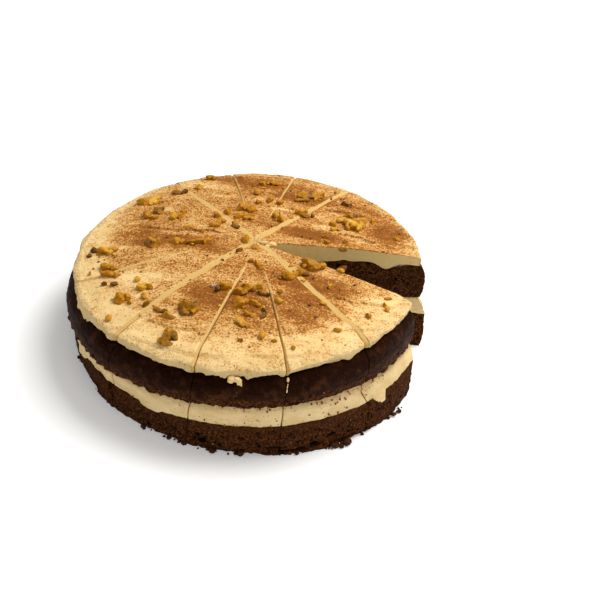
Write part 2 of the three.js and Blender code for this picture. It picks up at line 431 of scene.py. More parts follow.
def tip_of(portion):
    """Where the two faces of a portion meet, half a slit inside its two cuts."""
    start, end = cut_angle(portion), cut_angle(portion + 1)
    scale = HALF_SLIT / math.sin(end - start)
    return (
        CROSSING[0] + scale * (math.cos(end) + math.cos(start)),
        CROSSING[1] + scale * (math.sin(end) + math.sin(start)),
    )


def band_width(index, distance):
    """The dragged band's width along a cut, which wavers."""
    width = BAND_WIDTHS[index % PORTIONS]
    taper = 1.3 - 0.5 * distance / RIM if width > WIDE_BAND else 0.4 + 0.7 * distance / RIM
    return width * taper * (1 + 0.28 * noise(flat(distance, 10 * index), 17, 501))


def shown_share(index, distance):
    """The narrow cuts fade out under the cream some way before the crossing point."""
    start = CUT_STARTS.get(index % PORTIONS)
    if start is None:
        return np.ones(len(distance))
    return smoothstep(start - 8, start + 8, distance)


def open_share(index, distance):
    """How far a slit is open at its top, from 0 to 1: cream closes it near the crossing point."""
    index = index % PORTIONS
    if index in GAP_EDGES:
        return np.full(len(distance), 0.6)
    if index in CLOSED_EDGES:
        return np.full(len(distance), 0.12)
    if BAND_WIDTHS[index] > WIDE_BAND:
        return smoothstep(98, 122, distance)
    start = CUT_STARTS.get(index, EARLIEST_START)
    return smoothstep(start + 4, start + 40, distance)


# The columns of points beside a cut. Across a band: share of its width, share of its depth and
# how far an open slit rounds the column off. Without a band: inset and rounding in millimetres.
BAND_COLUMNS = (
    (0, 1, 1.1), (0.1, 0.95, 0.5), (0.3, 0.85, 0.15), (0.6, 0.65, 0), (0.88, 0.3, 0), (1, 0.05, 0),
)
COLUMNS_PAST_BAND = (0.7, 1.7)
PLAIN_COLUMNS = ((0, 0.8), (0.1, 0.35), (0.35, 0.1), (0.85, 0), (1.7, 0))


def edge_columns(index, distance, banded):
    """Insets from the cut face and drops below the top, from the cut face up to the top."""
    ones = np.ones(len(distance))
    opened = open_share(index, distance)
    if banded:
        width = band_width(index, distance)
        shallow = BAND_DEPTH * (0.25 + 0.75 * np.maximum(opened, 0.1 * width))
        shown = shown_share(index, distance)
        insets = [inset * width for inset, _, _ in BAND_COLUMNS]
        insets += [width + past for past in COLUMNS_PAST_BAND]
        drops = [(sunk * shallow + split * opened) * shown for _, sunk, split in BAND_COLUMNS]
        drops += [0 * ones for _ in COLUMNS_PAST_BAND]
    else:
        insets = [inset * ones for inset, _ in PLAIN_COLUMNS]
        drops = [drop * opened for _, drop in PLAIN_COLUMNS]
    return np.stack(insets, -1), np.stack(drops, -1)


def band_side(edge):
    """A dragged band lies on the wall that faces the front: 1 is left of the cut, -1 is right."""
    if BAND_WIDTHS[edge % PORTIONS] < NARROWEST_BAND:
        return 0
    return 1 if math.cos(cut_angle(edge % PORTIONS)) > 0 else -1


def is_banded(portion, edge, layer_name):
    return layer_name == "icing" and band_side(edge) == (1 if edge == portion else -1)


def columns_across(portion, distance, inner, layer_name):
    """Angle, drop and band share of every column across the wedge, at each distance out."""
    start, end = cut_angle(portion), cut_angle(portion + 1)
    near_banded = is_banded(portion, portion, layer_name)
    far_banded = is_banded(portion, portion + 1, layer_name)
    near, near_drop = edge_columns(portion, distance, near_banded)
    far, far_drop = edge_columns(portion + 1, distance, far_banded)
    widest = np.maximum(near[:, -1], far[:, -1])
    tightest = 0.42 * (end - start) / widest
    turn = np.minimum(1 / np.maximum(distance, 1e-6), tightest)[:, None]
    scale = np.minimum(1, distance * tightest)[:, None]
    first = start + near * turn
    last = end - far[:, ::-1] * turn
    steps = np.linspace(0, 1, inner + 2)[None, 1:-1]
    between = first[:, -1:] + (last[:, :1] - first[:, -1:]) * steps
    angles = np.concatenate([first, between, last], 1)
    drops = np.concatenate([near_drop * scale, 0 * between, far_drop[:, ::-1] * scale], 1)
    bands = np.zeros(angles.shape)
    across_band = len(BAND_COLUMNS)
    if near_banded:
        bands[:, :across_band] = shown_share(portion, distance)[:, None]
    if far_banded:
        bands[:, -across_band:] = shown_share(portion + 1, distance)[:, None]
    return angles, drops, bands


class Shell:
    """Collects the grids and hidden caps of one piece, and welds them into one mesh."""

    KINDS = ("top", "side", "wall", "under")

    def __init__(self):
        self.points = []
        self.masks = []
        self.bands = []
        self.quads = []
        self.caps = []
        self.count = 0

    def grid(self, points, kind, flip=False, bands=None, faces=True):
        """Adds a grid of points, and says which number each of them got."""
        rows, columns = points.shape[:2]
        numbers = np.arange(rows * columns).reshape(rows, columns) + self.count
        self.count += rows * columns
        self.points.append(points.reshape(-1, 3))
        mask = np.zeros((rows * columns, len(self.KINDS)))
        mask[:, self.KINDS.index(kind)] = 1
        self.masks.append(mask)
        self.bands.append(np.zeros(rows * columns) if bands is None else bands.ravel())
        if faces:
            quads = [numbers[:-1, :-1], numbers[1:, :-1], numbers[1:, 1:], numbers[:-1, 1:]]
            quads = np.stack(quads, -1).reshape(-1, 4)
            self.quads.append(quads[:, ::-1] if flip else quads)
        return numbers

    def cap(self, *runs):
        """Adds one flat face round runs of numbers."""
        self.caps.append(np.concatenate([np.asarray(run) for run in runs]))

    def weld(self):
        """Joins points that coincide, and drops what collapses."""
        points = np.concatenate(self.points)
        keys = np.round(points * 1e4).astype(np.int64)
        _, first, place = np.unique(keys, axis=0, return_index=True, return_inverse=True)
        place = place.ravel()
        masks = np.zeros((len(first), len(self.KINDS)))
        np.maximum.at(masks, place, np.concatenate(self.masks))
        bands = np.zeros(len(first))
        np.maximum.at(bands, place, np.concatenate(self.bands))
        quads = place[np.concatenate(self.quads)]
        whole = np.all(quads != np.roll(quads, -1, axis=1), axis=1)
        faces = quads[whole].tolist()
        loops = quads[~whole].tolist() + [place[cap].tolist() for cap in self.caps]
        for loop in loops:
            kept = [n for n, before in zip(loop, loop[-1:] + loop[:-1]) if n != before]
            if len(kept) > 2:
                faces.append(kept)
        self.faces = faces
        return points[first], dict(zip(self.KINDS, masks.T)), bands


def from_cut(points, edge):
    """How far points lie out along a cut from the crossing point, and to the left of it."""
    angle = cut_angle(edge)
    x = points[:, 0] - CROSSING[0]
    y = points[:, 1] - CROSSING[1]
    out = x * math.cos(angle) + y * math.sin(angle)
    left = y * math.cos(angle) - x * math.sin(angle)
    return out, left, np.array([-math.sin(angle), math.cos(angle), 0.0])


def settle_slits(points, portion, layer_name):
    """Opens or closes the slits beside a portion, which narrow towards the crossing point."""
    moved = points.copy()
    narrow = 0.4 if "sponge" in layer_name else 1
    for edge, side in ((portion, 1), (portion + 1, -1)):
        index = edge % PORTIONS
        out, left, normal = from_cut(points, edge)
        width = SLITS_AT_RIM[index]
        if index not in GAP_EDGES:
            width *= narrow
        if index not in GAP_EDGES + CLOSED_EDGES:
            width = SLIT_AT_CROSSING + (width - SLIT_AT_CROSSING) * open_share(edge, out)
        clear = np.maximum(0, left * side - HALF_SLIT)
        shift = (width - HALF_SLIT) * np.exp(-clear / 1.5)
        moved += (side * shift)[:, None] * normal
    return moved


def bow_cuts(points, on_top):
    """Shifts both faces of the cuts that lean, and of those that the knife bowed on the top."""
    moved = points.copy()
    for edge in sorted(set(BOWS) | set(LEANS)):
        lean = LEANS.get(edge, NO_SHIFT)
        bow = BOWS.get(edge, NO_SHIFT)
        out, left, normal = from_cut(points, edge)
        steps = np.linspace(-BOW_ROUNDING, BOW_ROUNDING, 7)
        nearby = [np.interp(out + step, *zip(*bow)) for step in steps]
        leaning = np.interp(points[:, 2], *zip(*lean)) * smoothstep(*LEAN_RANGE, out)
        shift = leaning + (np.mean(nearby, axis=0) - leaning) * on_top
        spread = np.clip(0.25 * out, 2, BOW_SPREAD)
        shift *= smoothstep(0, 8, out) * np.exp(-((left / spread) ** 2))
        moved += shift[:, None] * normal
    return moved


def portion_shell(layer_name, portion):
    """One layer of one portion before its relief, with a fine grid on each side that shows."""
    layer = LAYERS[layer_name]
    start, end = cut_angle(portion), cut_angle(portion + 1)
    tip = tip_of(portion)
    arc = RIM * (end - start)
    inner = max(4, round(arc / SIDE_STEP) - 8)
    rows = round(RIM / OUTWARD_STEP)
    along = np.linspace(0, 1, rows + 1)
    rises = np.linspace(0, 1, layer["rows"] + 1)
    distance = along * RIM
    angles, drops, bands = columns_across(portion, distance, inner, layer_name)
    columns = angles.shape[1]

    lengths = np.zeros((columns, len(rises)))
    hang = np.zeros((columns, len(rises)))
    low_centre, high_centre = layer["centres"]
    for k, rise in enumerate(rises):
        centre = [low + (high - low) * rise for low, high in zip(low_centre, high_centre)]
        radius = smooth_profile(layer["profile"], rise)

        def outline(seen, rise=rise):
            return layer["outline"](seen, np.full(np.shape(seen), rise))

        length, seen = reach(tip, angles[-1], centre, radius, outline)
        lengths[:, k] = length - 0.8 * drops[-1]
        hang[:, k] = layer["hang"](seen) * (1 - smoothstep(0, 0.4, rise))

    def place(j, angle, length, rise, drop, sag):
        """Points of row j, that far from the tip, at a share of the layer's height."""
        x = tip[0] + length * np.cos(angle)
        y = tip[1] + length * np.sin(angle)
        low = layer["low"](x, y)
        high = layer["high"](x, y)
        z = low + (high - drop - low) * rise + sag * along[j] ** 12
        return np.stack(np.broadcast_arrays(x, y, z), -1)

    shell = Shell()
    outer = place(rows, angles[-1][:, None], lengths, rises[None, :], drops[-1][:, None], hang)
    side = shell.grid(outer, "side", bands=np.repeat(bands[-1][:, None], len(rises), 1))

    if layer_name == "icing":
        grid = np.stack([
            place(j, angles[j], along[j] * lengths[:, -1], 1.0, drops[j], hang[:, -1])
            for j in range(rows + 1)
        ])
        top = shell.grid(grid, "top", bands=bands)
        start_top, end_top = top[:, 0], top[:, -1]
    else:
        edges = []
        for column, angle in ((0, start), (-1, end)):
            edges.append(np.stack([
                place(j, angle, along[j] * lengths[column, -1], 1.0, drops[j, column], 0.0)
                for j in range(rows + 1)
            ])[:, None])
        start_top = shell.grid(edges[0], "top", faces=False)[:, 0]
        end_top = shell.grid(edges[1], "top", faces=False)[:, 0]
        shell.cap(side[:, -1], end_top[::-1], start_top)

    under = np.stack([
        place(j, angles[-1], along[j] * lengths[:, 0], 0.0, drops[-1], hang[:, 0])
        for j in range(rows - EDGE_ROWS, rows + 1)
    ])
    under = shell.grid(under, "under", flip=True)

    bottoms = []
    for column, angle, top_line in ((0, start, start_top), (-1, end, end_top)):
        edge = (portion + 1 if column else portion) % PORTIONS
        if edge in GAP_EDGES:
            wall = np.stack([
                place(
                    j, angle, along[j] * lengths[column], rises, drops[j, column], hang[column],
                )
                for j in range(rows + 1)
            ])
            numbers = shell.grid(wall, "wall", flip=column != 0)
            bottoms.append(numbers[: rows - EDGE_ROWS + 1, 0])
        else:
            foot = place(0, angle, 0.0, 0.0, 0.0, 0.0)[None, None]
            corner = shell.grid(foot, "under", faces=False)[0]
            loop = np.concatenate([corner, under[:, column], side[column, :], top_line[::-1]])
            shell.cap(loop[::-1] if column else loop)
            bottoms.append(corner)
    outline_loop = np.concatenate([under[0], bottoms[1][::-1], bottoms[0]])
    shell.cap(outline_loop[::-1])
    return shell


# Relief of the icing: marks of the palette knife, laps in the cream and a fine grain.

STREAK_TURN = math.radians(-14)
LAP_HEIGHT = 1.2
LAPS = (
    ((-79, -95), (-62, -103), (-37, -112), (-5, -117)),
    ((-71, -80), (-53, -88), (-26, -93)),
    ((-6, -114), (22, -112), (37, -109), (49, -105)),
    ((55, -88), (68, -86), (80, -81), (82, -77)),
    ((66, -54), (75, -57), (93, -57), (100, -49)),
    ((48, -53), (63, -56), (68, -61)),
    ((-100, -56), (-104, -47), (-114, -40)),
    ((42, 59), (61, 55), (80, 51)),
    ((51, 25), (70, 21), (88, 13)),
    ((-89, 30), (-64, 24), (-33, 21), (-20, 15)),
    ((-98, 48), (-80, 66), (-60, 82)),
    ((-30, 108), (0, 110), (30, 103)),
    ((-20, -18), (-50, -14), (-84, -22)),
)


def lap_of(x, y, line):
    """Height and crease of a lap of cream: a lip on the left of the line, a fall on its right."""
    nearest = np.full(np.shape(x), 1e9)
    side = np.zeros(np.shape(x))
    run = np.zeros(np.shape(x))
    total = sum(math.dist(a, b) for a, b in zip(line, line[1:]))
    passed = 0
    for a, b in zip(line, line[1:]):
        length = math.dist(a, b)
        step = ((b[0] - a[0]) / length, (b[1] - a[1]) / length)
        from_x, from_y = x - a[0], y - a[1]
        along = np.clip(from_x * step[0] + from_y * step[1], 0, length)
        away = np.hypot(from_x - along * step[0], from_y - along * step[1])
        cross = step[0] * from_y - step[1] * from_x
        closer = away < nearest
        nearest = np.where(closer, away, nearest)
        side = np.where(closer, np.sign(cross), side)
        run = np.where(closer, (passed + along) / total, run)
        passed += length
    fade = smoothstep(0, 0.2, run) * (1 - smoothstep(0.8, 1, run))
    wobble = 0.8 * plane_noise(x, y, 6, 611)
    signed = side * nearest + wobble
    lip = np.exp(-np.maximum(signed, 0) / 4.5) * (signed > 0)
    foot = -0.35 * np.exp(np.minimum(signed, 0) / 1.2) * (signed <= 0)
    near = fade * (1 - smoothstep(8, 14, nearest))
    return LAP_HEIGHT * (lip + foot) * near, np.exp(-((signed / 0.9) ** 2)) * near


def along_streaks(x, y):
    """Places along and across the direction in which the cream was spread."""
    c, s = math.cos(STREAK_TURN), math.sin(STREAK_TURN)
    return x * c + y * s, -x * s + y * c


def spread_height(x, y):
    """Height of the palette knife's marks, and where the creases of the laps are."""
    long, wide = along_streaks(x, y)
    bent = wide + 0.0016 * long**2
    points = flat(long, bent)
    slow = layered_noise(points, (48, 9, 1), 621, 2)
    quick = layered_noise(points, (26, 2.6, 1), 625, 2)
    lumps = plane_noise(x, y, 5, 631)
    height = 0.6 * slow + 0.4 * quick + 0.2 * lumps
    crease = np.zeros(np.shape(x))
    for line in LAPS:
        lap, fold = lap_of(x, y, line)
        height = height + lap
        crease = np.maximum(crease, fold)
    return height, crease


# Where the cinnamon lies: the width of the bare rim by direction in degrees, and the places of
# the thicker and thinner streaks with their half length, half width and strength.
BARE_RIM = (
    (-180, 15), (-160, 20), (-140, 17), (-115, 14), (-90, 15), (-70, 13), (-50, 18), (-30, 15),
    (-10, -2), (15, -9), (60, -11), (100, -10), (130, -5), (155, 4), (180, 14),
)
STREAKS = (
    (-55, 6, 46, 12, 0.95), (-86, 20, 20, 12, 0.5), (-14, -60, 36, 16, 0.95), (33, -68, 28, 19, 0.8),
    (36, -40, 36, 13, 0.75), (-10, 99, 48, 12, 0.9), (5, 80, 34, 10, 0.6), (32, 74, 26, 10, 0.9),
    (35, 20, 32, 9, 1.15), (93, 34, 17, 26, 0.85), (-60, -45, 26, 14, -0.25), (-8, -28, 26, 12, 0.5),
    (70, 60, 22, 12, 0.55), (-60, 60, 40, 14, 0.15), (66, 5, 28, 9, 0.3), (0, 40, 26, 12, 0.35),
    (-82, -38, 22, 16, -0.35), (-96, 20, 14, 20, -0.2), (72, 26, 20, 6, -0.25),
)


def inside_of(x, y, radius):
    """How far places lie inside a circle round the upper layers' middle."""
    return radius - RIM * share(x, y, UPPER_CENTRE)


def cinnamon(x, y):
    """Share of the surface that the dusted cinnamon covers."""
    direction = np.degrees(np.arctan2(y - UPPER_CENTRE[1], x - UPPER_CENTRE[0]))
    bare = np.interp(direction, *zip(*BARE_RIM))
    inside = inside_of(x, y, ICING_SHOULDER)
    edge = smoothstep(0, 1, (inside - bare + 4 + 7 * plane_noise(x, y, 14, 641)) / 22)
    long, wide = along_streaks(x, y)
    thick = np.zeros(np.shape(x))
    for middle_x, middle_y, half_long, half_wide, strength in STREAKS:
        mid_long, mid_wide = along_streaks(middle_x, middle_y)
        away = np.hypot((long - mid_long) / half_long, (wide - mid_wide) / half_wide)
        fall = 1 - smoothstep(0.35, 1.25, away)
        thick = thick + strength * fall * (1 - np.clip(thick, 0, 1) * (strength > 0))
    streaky = layered_noise(flat(long, wide), (30, 4, 1), 651, 3)
    clouds = plane_noise(x, y, 16, 655)
    amount = 0.54 + 0.6 * thick + 0.22 * streaky + 0.16 * clouds
    return np.clip(amount, 0.05, 1.1) * edge + 0.17 * (1 - edge)


# How far from the crossing point its bands fade out.
CROSSING_BANDS_END = (22, 30)


def crossing_bands(points):
    """Share of the dragged bands near the crossing point, where they run over several portions."""
    away = np.hypot(points[:, 0] - CROSSING[0], points[:, 1] - CROSSING[1])
    cover = np.zeros(len(points))
    for edge in range(PORTIONS):
        if BAND_WIDTHS[edge] < WIDE_BAND:
            continue
        out, left, _ = from_cut(points, edge)
        past = left * band_side(edge)
        width = 1.3 * BAND_WIDTHS[edge]
        inside = smoothstep(-0.5, 0.4, past) * (1 - smoothstep(-0.5, 0.4, past - width))
        cover = np.maximum(cover, inside * smoothstep(-3, 0, out))
    return cover * (1 - smoothstep(*CROSSING_BANDS_END, away))


# The relief of each layer moves its points along the direction of the side that they lie on.

def outward_from(points, centre):
    """Level directions away from an upright line through the centre."""
    away = points[:, :2] - np.asarray(centre)
    away = away / np.maximum(np.linalg.norm(away, axis=1), 1e-6)[:, None]
    return np.concatenate([away, np.zeros((len(points), 1))], 1)


def wall_normal(portion):
    """The direction in which a wall of this portion that faces the gap looks."""
    edge, side = (portion, -1) if portion == GAP_EDGES[1] else (portion + 1, 1)
    angle = cut_angle(edge)
    return np.array([-math.sin(angle) * side, math.cos(angle) * side, 0.0])


def push(points, centre, portion, on_side, on_wall):
    """Moves the side outward and the walls into the gap by that many millimetres."""
    moved = points + outward_from(points, centre) * on_side[:, None]
    return moved + wall_normal(portion) * on_wall[:, None]


def crumb_relief(points, seed, rough):
    """Height of crumbs, and depth of the small and large bubbles between them."""
    lumps = 0.45 * layered_noise(points, 7, seed, 2)
    lumps += rough * layered_noise(points, 2.2, seed + 5, 2)
    holes = pores(points, 5.5, seed + 9, 0.5, 0.7, 1.9) + pores(points, 2.8, seed + 19, 0.4, 0.4, 1)
    holes = np.maximum(holes, pores(points, 11, seed + 29, 0.4, 1.4, 3))
    return lumps, holes


def near_front(x, y, direction, spread):
    """From 0 to 1, how near the side lies to a direction in degrees."""
    degrees = np.degrees(np.arctan2(y - UPPER_CENTRE[1], x - UPPER_CENTRE[0]))
    return np.exp(-(((degrees - direction) / spread) ** 2))


def height_share(points, layer):
    low = layer["low"](points[:, 0], points[:, 1])
    high = layer["high"](points[:, 0], points[:, 1])
    return np.clip((points[:, 2] - low) / np.maximum(high - low, 1e-3), 0, 1)


GRAIN_HEIGHT = 0.1
CROSSING_DEPTH = 0.5
# How far the icing's rim sinks all round, and how much more in front.
RIM_SLUMP = 1
FRONT_SLUMP = 1.8


def icing_relief(points, masks, bands, portion, rise):
    x, y = points[:, 0], points[:, 1]
    top = masks["top"]
    side = masks["side"] * (1 - top)
    crossing = crossing_bands(points) * top
    bands = np.maximum(bands, crossing)
    dust = cinnamon(x, y)

    height, crease = spread_height(x, y)
    height *= 0.35 + 0.65 * smoothstep(0, 10, inside_of(x, y, ICING_SHOULDER))
    height += GRAIN_HEIGHT * layered_noise(points, 1.3, 661, 2) * dust
    height *= 1 - 0.85 * bands
    rim = 1 - smoothstep(0, 8, inside_of(x, y, ICING_SHOULDER - 0.5))
    crumbly = 0.65 * layered_noise(points, 2.8, 677, 3) * rim
    ridge = np.exp(-(((inside_of(x, y, ICING_SHOULDER + 0.4) - 0.8) / 1.5) ** 2))
    ridge *= smoothstep(-0.3, 0.3, plane_noise(x, y, 18, 679))
    height += (crumbly + 0.8 * ridge) * (1 - bands)
    slump = 1 - smoothstep(-1, 12, inside_of(x, y, ICING_SHOULDER + 0.5))
    slump *= RIM_SLUMP + FRONT_SLUMP * near_front(x, y, -85, 45)

    lumps = 0.7 * layered_noise(points, (8, 8, 4), 671, 2) + 0.6 * layered_noise(points, 2.8, 675, 3)
    drag = 0.18 * layered_noise(points, (14, 14, 1.6), 681, 3)
    moved = push(points, UPPER_CENTRE, portion, side * lumps, masks["wall"] * drag)
    moved[:, 2] += top * height - CROSSING_DEPTH * crossing - slump * rise

    side_dust = masks["side"] * 0.35 * dust * smoothstep(0.6, 1, rise)
    return moved, {
        "cinnamon": np.maximum(top * (1 - bands) * dust, side_dust),
        "cut": masks["wall"],
        "rim": np.maximum(rim * top, masks["side"]) * (1 - bands),
        # Where the painted shade of the icing's side goes.
        "side": side,
        # Painted shade in the creases of the laps goes in with the dragged bands' colour.
        "band": np.maximum(bands, 0.6 * crease * top),
    }


def filling_relief(points, masks, bands, portion, rise):
    lumps = 0.6 * layered_noise(points, (12, 12, 5), 701, 3)
    lumps += 0.25 * layered_noise(points, 2.6, 705, 2)
    drag = 0.15 * layered_noise(points, (12, 12, 1.5), 711, 3)
    moved = push(points, LOWER_CENTRE, portion, masks["side"] * lumps, masks["wall"] * drag)
    # The top of the filling's side, where painted shade under the upper sponge's overhang falls, along
    # with a brown stain from its crumbs.
    return moved, {"cut": masks["wall"], "high": smoothstep(0.55, 1, rise) * masks["side"]}


def upper_relief(points, masks, bands, portion, rise):
    uncut = 1 - masks["wall"]
    lumps, holes = crumb_relief(points, 721, 0.7)
    crumb = lumps - 0.9 * holes
    worn = 0.14 * layered_noise(points, 11, 727, 3)
    skin = smoothstep(0.16, 0.38, rise + worn) * uncut
    wrinkle = 0.45 * layered_noise(points, (3.8, 3.8, 2.4), 731, 3)
    wrinkle += 0.6 * layered_noise(points, 12, 735, 2)
    wrinkle -= 0.5 * pores(points, 6, 739, 0.35, 0.5, 1.3)
    side = skin * wrinkle + (1 - skin) * (crumb + 0.2)
    on_wall = masks["wall"] * (crumb - 0.1)
    moved = push(points, UPPER_CENTRE, portion, masks["side"] * side, on_wall)
    # Painted shade: the skin is coloured darker towards its top, under the icing's overhang, and most
    # at the front, away from the light.
    front = near_front(points[:, 0], points[:, 1], -92, 38)
    burnt = smoothstep(0.3, 0.95, rise + worn) * (0.3 + 0.7 * front) * uncut
    # Painted shade in the bubbles of the crumb.
    pore = smoothstep(0.15, 1.1, holes) * (1 - skin)
    return moved, {"skin": skin, "burnt": burnt, "pore": pore}


# Holes torn in the foot: direction in degrees, height, half width, half height and depth.
FOOT_HOLES = (
    (-67.2, 6, 3, 2.8, 4), (-71.8, 3.6, 6.5, 1.8, 3.5), (-77.3, 3.4, 6, 1.5, 3), (-53, 5, 2.5, 1.6, 3),
    (-80, 6, 3, 1.6, 2.5), (-98, 7, 2.2, 1.4, 2), (-140, 5, 3.5, 1.5, 2.5), (60, 6, 5, 2, 3),
    (140, 5, 4, 1.6, 2.5), (15, 6, 4, 2, 3), (-28, 6, 3, 1.8, 2.5), (100, 4, 5, 1.6, 2.5),
)


def foot_holes(points):
    away_x = points[:, 0] - CROSSING[0]
    away_y = points[:, 1] - CROSSING[1]
    turn = np.degrees(np.arctan2(away_y, away_x)) + 2.5 * layered_noise(points, 5, 751, 2)
    depth = np.zeros(len(points))
    for direction, height, half_width, half_height, deep in FOOT_HOLES:
        along = np.radians((turn - direction + 180) % 360 - 180) * RIM / half_width
        upward = (points[:, 2] - height) / half_height
        depth = np.maximum(depth, deep * np.maximum(0, 1 - along**2 - upward**2) ** 0.6)
    return depth


def lower_relief(points, masks, bands, portion, rise):
    lumps, holes = crumb_relief(points, 741, 0.7)
    torn = foot_holes(points) * masks["side"]
    crumb = lumps - 0.8 * holes - torn - 0.1
    moved = push(points, LOWER_CENTRE, portion, masks["side"] * crumb, masks["wall"] * crumb)
    moved[:, 2] = np.maximum(moved[:, 2], 0)
    skin = 0.5 * smoothstep(0.5, 1, rise) * (1 - masks["wall"])
    # Painted shade in the bubbles of the crumb and in the torn holes of the foot.
    pore = np.maximum(smoothstep(0.15, 1.1, holes), smoothstep(0.8, 2.5, torn))
    return moved, {"skin": skin, "burnt": np.zeros(len(points)), "pore": pore}


RELIEFS = {
    "lower_sponge": lower_relief,
    "filling": filling_relief,
    "upper_sponge": upper_relief,
    "icing": icing_relief,
}


# Making Blender objects.

def make_object(name, points, faces, attributes, material, smooth_angle=50):
    mesh = bpy.data.meshes.new(name)
    mesh.from_pydata((points * METRES).tolist(), [], faces)
    for key, values in attributes.items():
        attribute = mesh.attributes.new(key, "FLOAT", "POINT")
        attribute.data.foreach_set("value", np.ascontiguousarray(values, np.float32))
    mesh.shade_smooth()
    mesh.set_sharp_from_angle(angle=math.radians(smooth_angle))
    mesh.materials.append(material)
    mesh.validate()
    piece = bpy.data.objects.new(name, mesh)
    bpy.context.scene.collection.objects.link(piece)
    return piece


def declare(piece, slot, *nodes):
    """Says what a piece rides on and which solids it stands for; the slot is not used."""
    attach(piece, "root")
    if nodes:
        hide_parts(*nodes)


def make_layers(materials):
    for layer_name, layer in LAYERS.items():
        for portion in range(PORTIONS):
            if portion == MISSING_PORTION:
                continue
            shell = portion_shell(layer_name, portion)
            points, masks, bands = shell.weld()
            rise = height_share(points, layer)
            moved, attributes = RELIEFS[layer_name](points, masks, bands, portion, rise)
            moved = settle_slits(moved, portion, layer_name)
            moved = bow_cuts(moved, rise**1.5 if layer_name == "icing" else 0)
            node = f"{layer_name}_{portion:02d}"
            piece = make_object(f"{node}.cake", moved, shell.faces, attributes, materials[layer_name])
            declare(piece, layer_name, node)


# Materials.

class Finish:
    """A material built from nodes, whose noises are measured in millimetres on the piece."""

    def __init__(self, name, roughness, specular=0.5):
        self.material = bpy.data.materials.new(name)
        self.material.use_nodes = True
        self.tree = self.material.node_tree
        self.shader = self.tree.nodes["Principled BSDF"]
        self.shader.inputs["Roughness"].default_value = roughness
        self.shader.inputs["Specular IOR Level"].default_value = specular
        self.coordinates = self.tree.nodes.new("ShaderNodeTexCoord").outputs["Object"]

    def new(self, kind, values=None, **settings):
        node = self.tree.nodes.new(kind)
        for key, value in settings.items():
            setattr(node, key, value)
        for key, value in (values or {}).items():
            if isinstance(value, bpy.types.NodeSocket):
                self.tree.links.new(value, node.inputs[key])
            else:
                node.inputs[key].default_value = value
        return node

    def noise(self, size, detail=2.0, roughness=0.5, stretch=(1, 1, 1), turn=0.0):
        mapping = self.new("ShaderNodeMapping", {
            "Vector": self.coordinates, "Rotation": (0, 0, turn), "Scale": stretch,
        })
        values = {
            "Vector": mapping.outputs["Vector"], "Scale": 1 / (size * METRES),
            "Detail": detail, "Roughness": roughness,
        }
        return self.new("ShaderNodeTexNoise", values).outputs["Fac"]

    def grains(self, size):
        """A random value for every cell of about that size."""
        values = {"Vector": self.coordinates, "Scale": 1 / (size * METRES)}
        colour = self.new("ShaderNodeTexVoronoi", values).outputs["Color"]
        return self.new("ShaderNodeSeparateColor", {"Color": colour}).outputs["Red"]

    def attribute(self, name):
        return self.new("ShaderNodeAttribute", attribute_name=name).outputs["Fac"]

    def maths(self, operation, a, b):
        return self.new("ShaderNodeMath", {0: a, 1: b}, operation=operation).outputs[0]

    def times(self, a, b):
        return self.maths("MULTIPLY", a, b)

    def sum(self, *values):
        total = values[0]
        for value in values[1:]:
            total = self.maths("ADD", total, value)
        return total

    def step(self, value, low, high, to_low=0.0, to_high=1.0):
        """A soft change from to_low to to_high as the value goes from low to high."""
        values = {
            "Value": value, "From Min": low, "From Max": high, "To Min": to_low, "To Max": to_high,
        }
        node = self.new("ShaderNodeMapRange", values, interpolation_type="SMOOTHSTEP")
        return node.outputs["Result"]

    def mix(self, factor, a, b):
        node = self.new("ShaderNodeMix", data_type="RGBA")
        for key, value in ((0, factor), (6, a), (7, b)):
            if isinstance(value, bpy.types.NodeSocket):
                self.tree.links.new(value, node.inputs[key])
            elif isinstance(value, tuple):
                node.inputs[key].default_value = (*value, 1)
            else:
                node.inputs[key].default_value = value
        return node.outputs[2]

    def bump(self, heights):
        """Adds up (height socket, millimetres) pairs into the shader's normal."""
        total = self.sum(*[self.times(height, amount) for height, amount in heights])
        values = {"Height": total, "Distance": METRES, "Strength": 1.0}
        normal = self.new("ShaderNodeBump", values).outputs["Normal"]
        self.tree.links.new(normal, self.shader.inputs["Normal"])

    def colour(self, value):
        self.tree.links.new(value, self.shader.inputs["Base Color"])

    def soften(self, weight, depth):
        """Lets light into the surface, to about that depth in millimetres."""
        self.shader.inputs["Subsurface Weight"].default_value = weight
        self.shader.inputs["Subsurface Radius"].default_value = (1.0, 0.6, 0.3)
        self.shader.inputs["Subsurface Scale"].default_value = depth * METRES


CREAM = (0.89, 0.635, 0.285)
CREAM_SHADE = (0.80, 0.55, 0.23)
CREAM_CRUST = (0.78, 0.575, 0.275)
# Painted shade: the icing's side is coloured darker than its top, as light falls from above.
CREAM_SIDE_SHADE = (0.69, 0.485, 0.22)
CREAM_CUT = (0.75, 0.56, 0.245)
# The dragged bands' own colour, also used as painted shade in the creases of the laps.
BAND_AND_CREASE_SHADE = (0.66, 0.425, 0.14)
FILLING_CREAM = (0.80, 0.60, 0.30)
FILLING_SHADE = (0.70, 0.50, 0.225)
FILLING_LIGHT = (0.88, 0.69, 0.38)
# Painted shade under the upper sponge's overhang, mixed with a brown stain from its crumbs.
FILLING_STAIN_AND_SHADE = (0.36, 0.21, 0.065)
TAN = (0.70, 0.38, 0.12)
DUST_LIGHT = (0.56, 0.27, 0.065)
DUST = (0.33, 0.112, 0.014)
DUST_DARK = (0.20, 0.062, 0.008)
SKIN = (0.020, 0.0054, 0.0016)
# Painted shade on the upper sponge's skin, towards its top and front.
SKIN_SHADE = (0.006, 0.0014, 0.0005)
SKIN_RED = (0.070, 0.022, 0.0068)
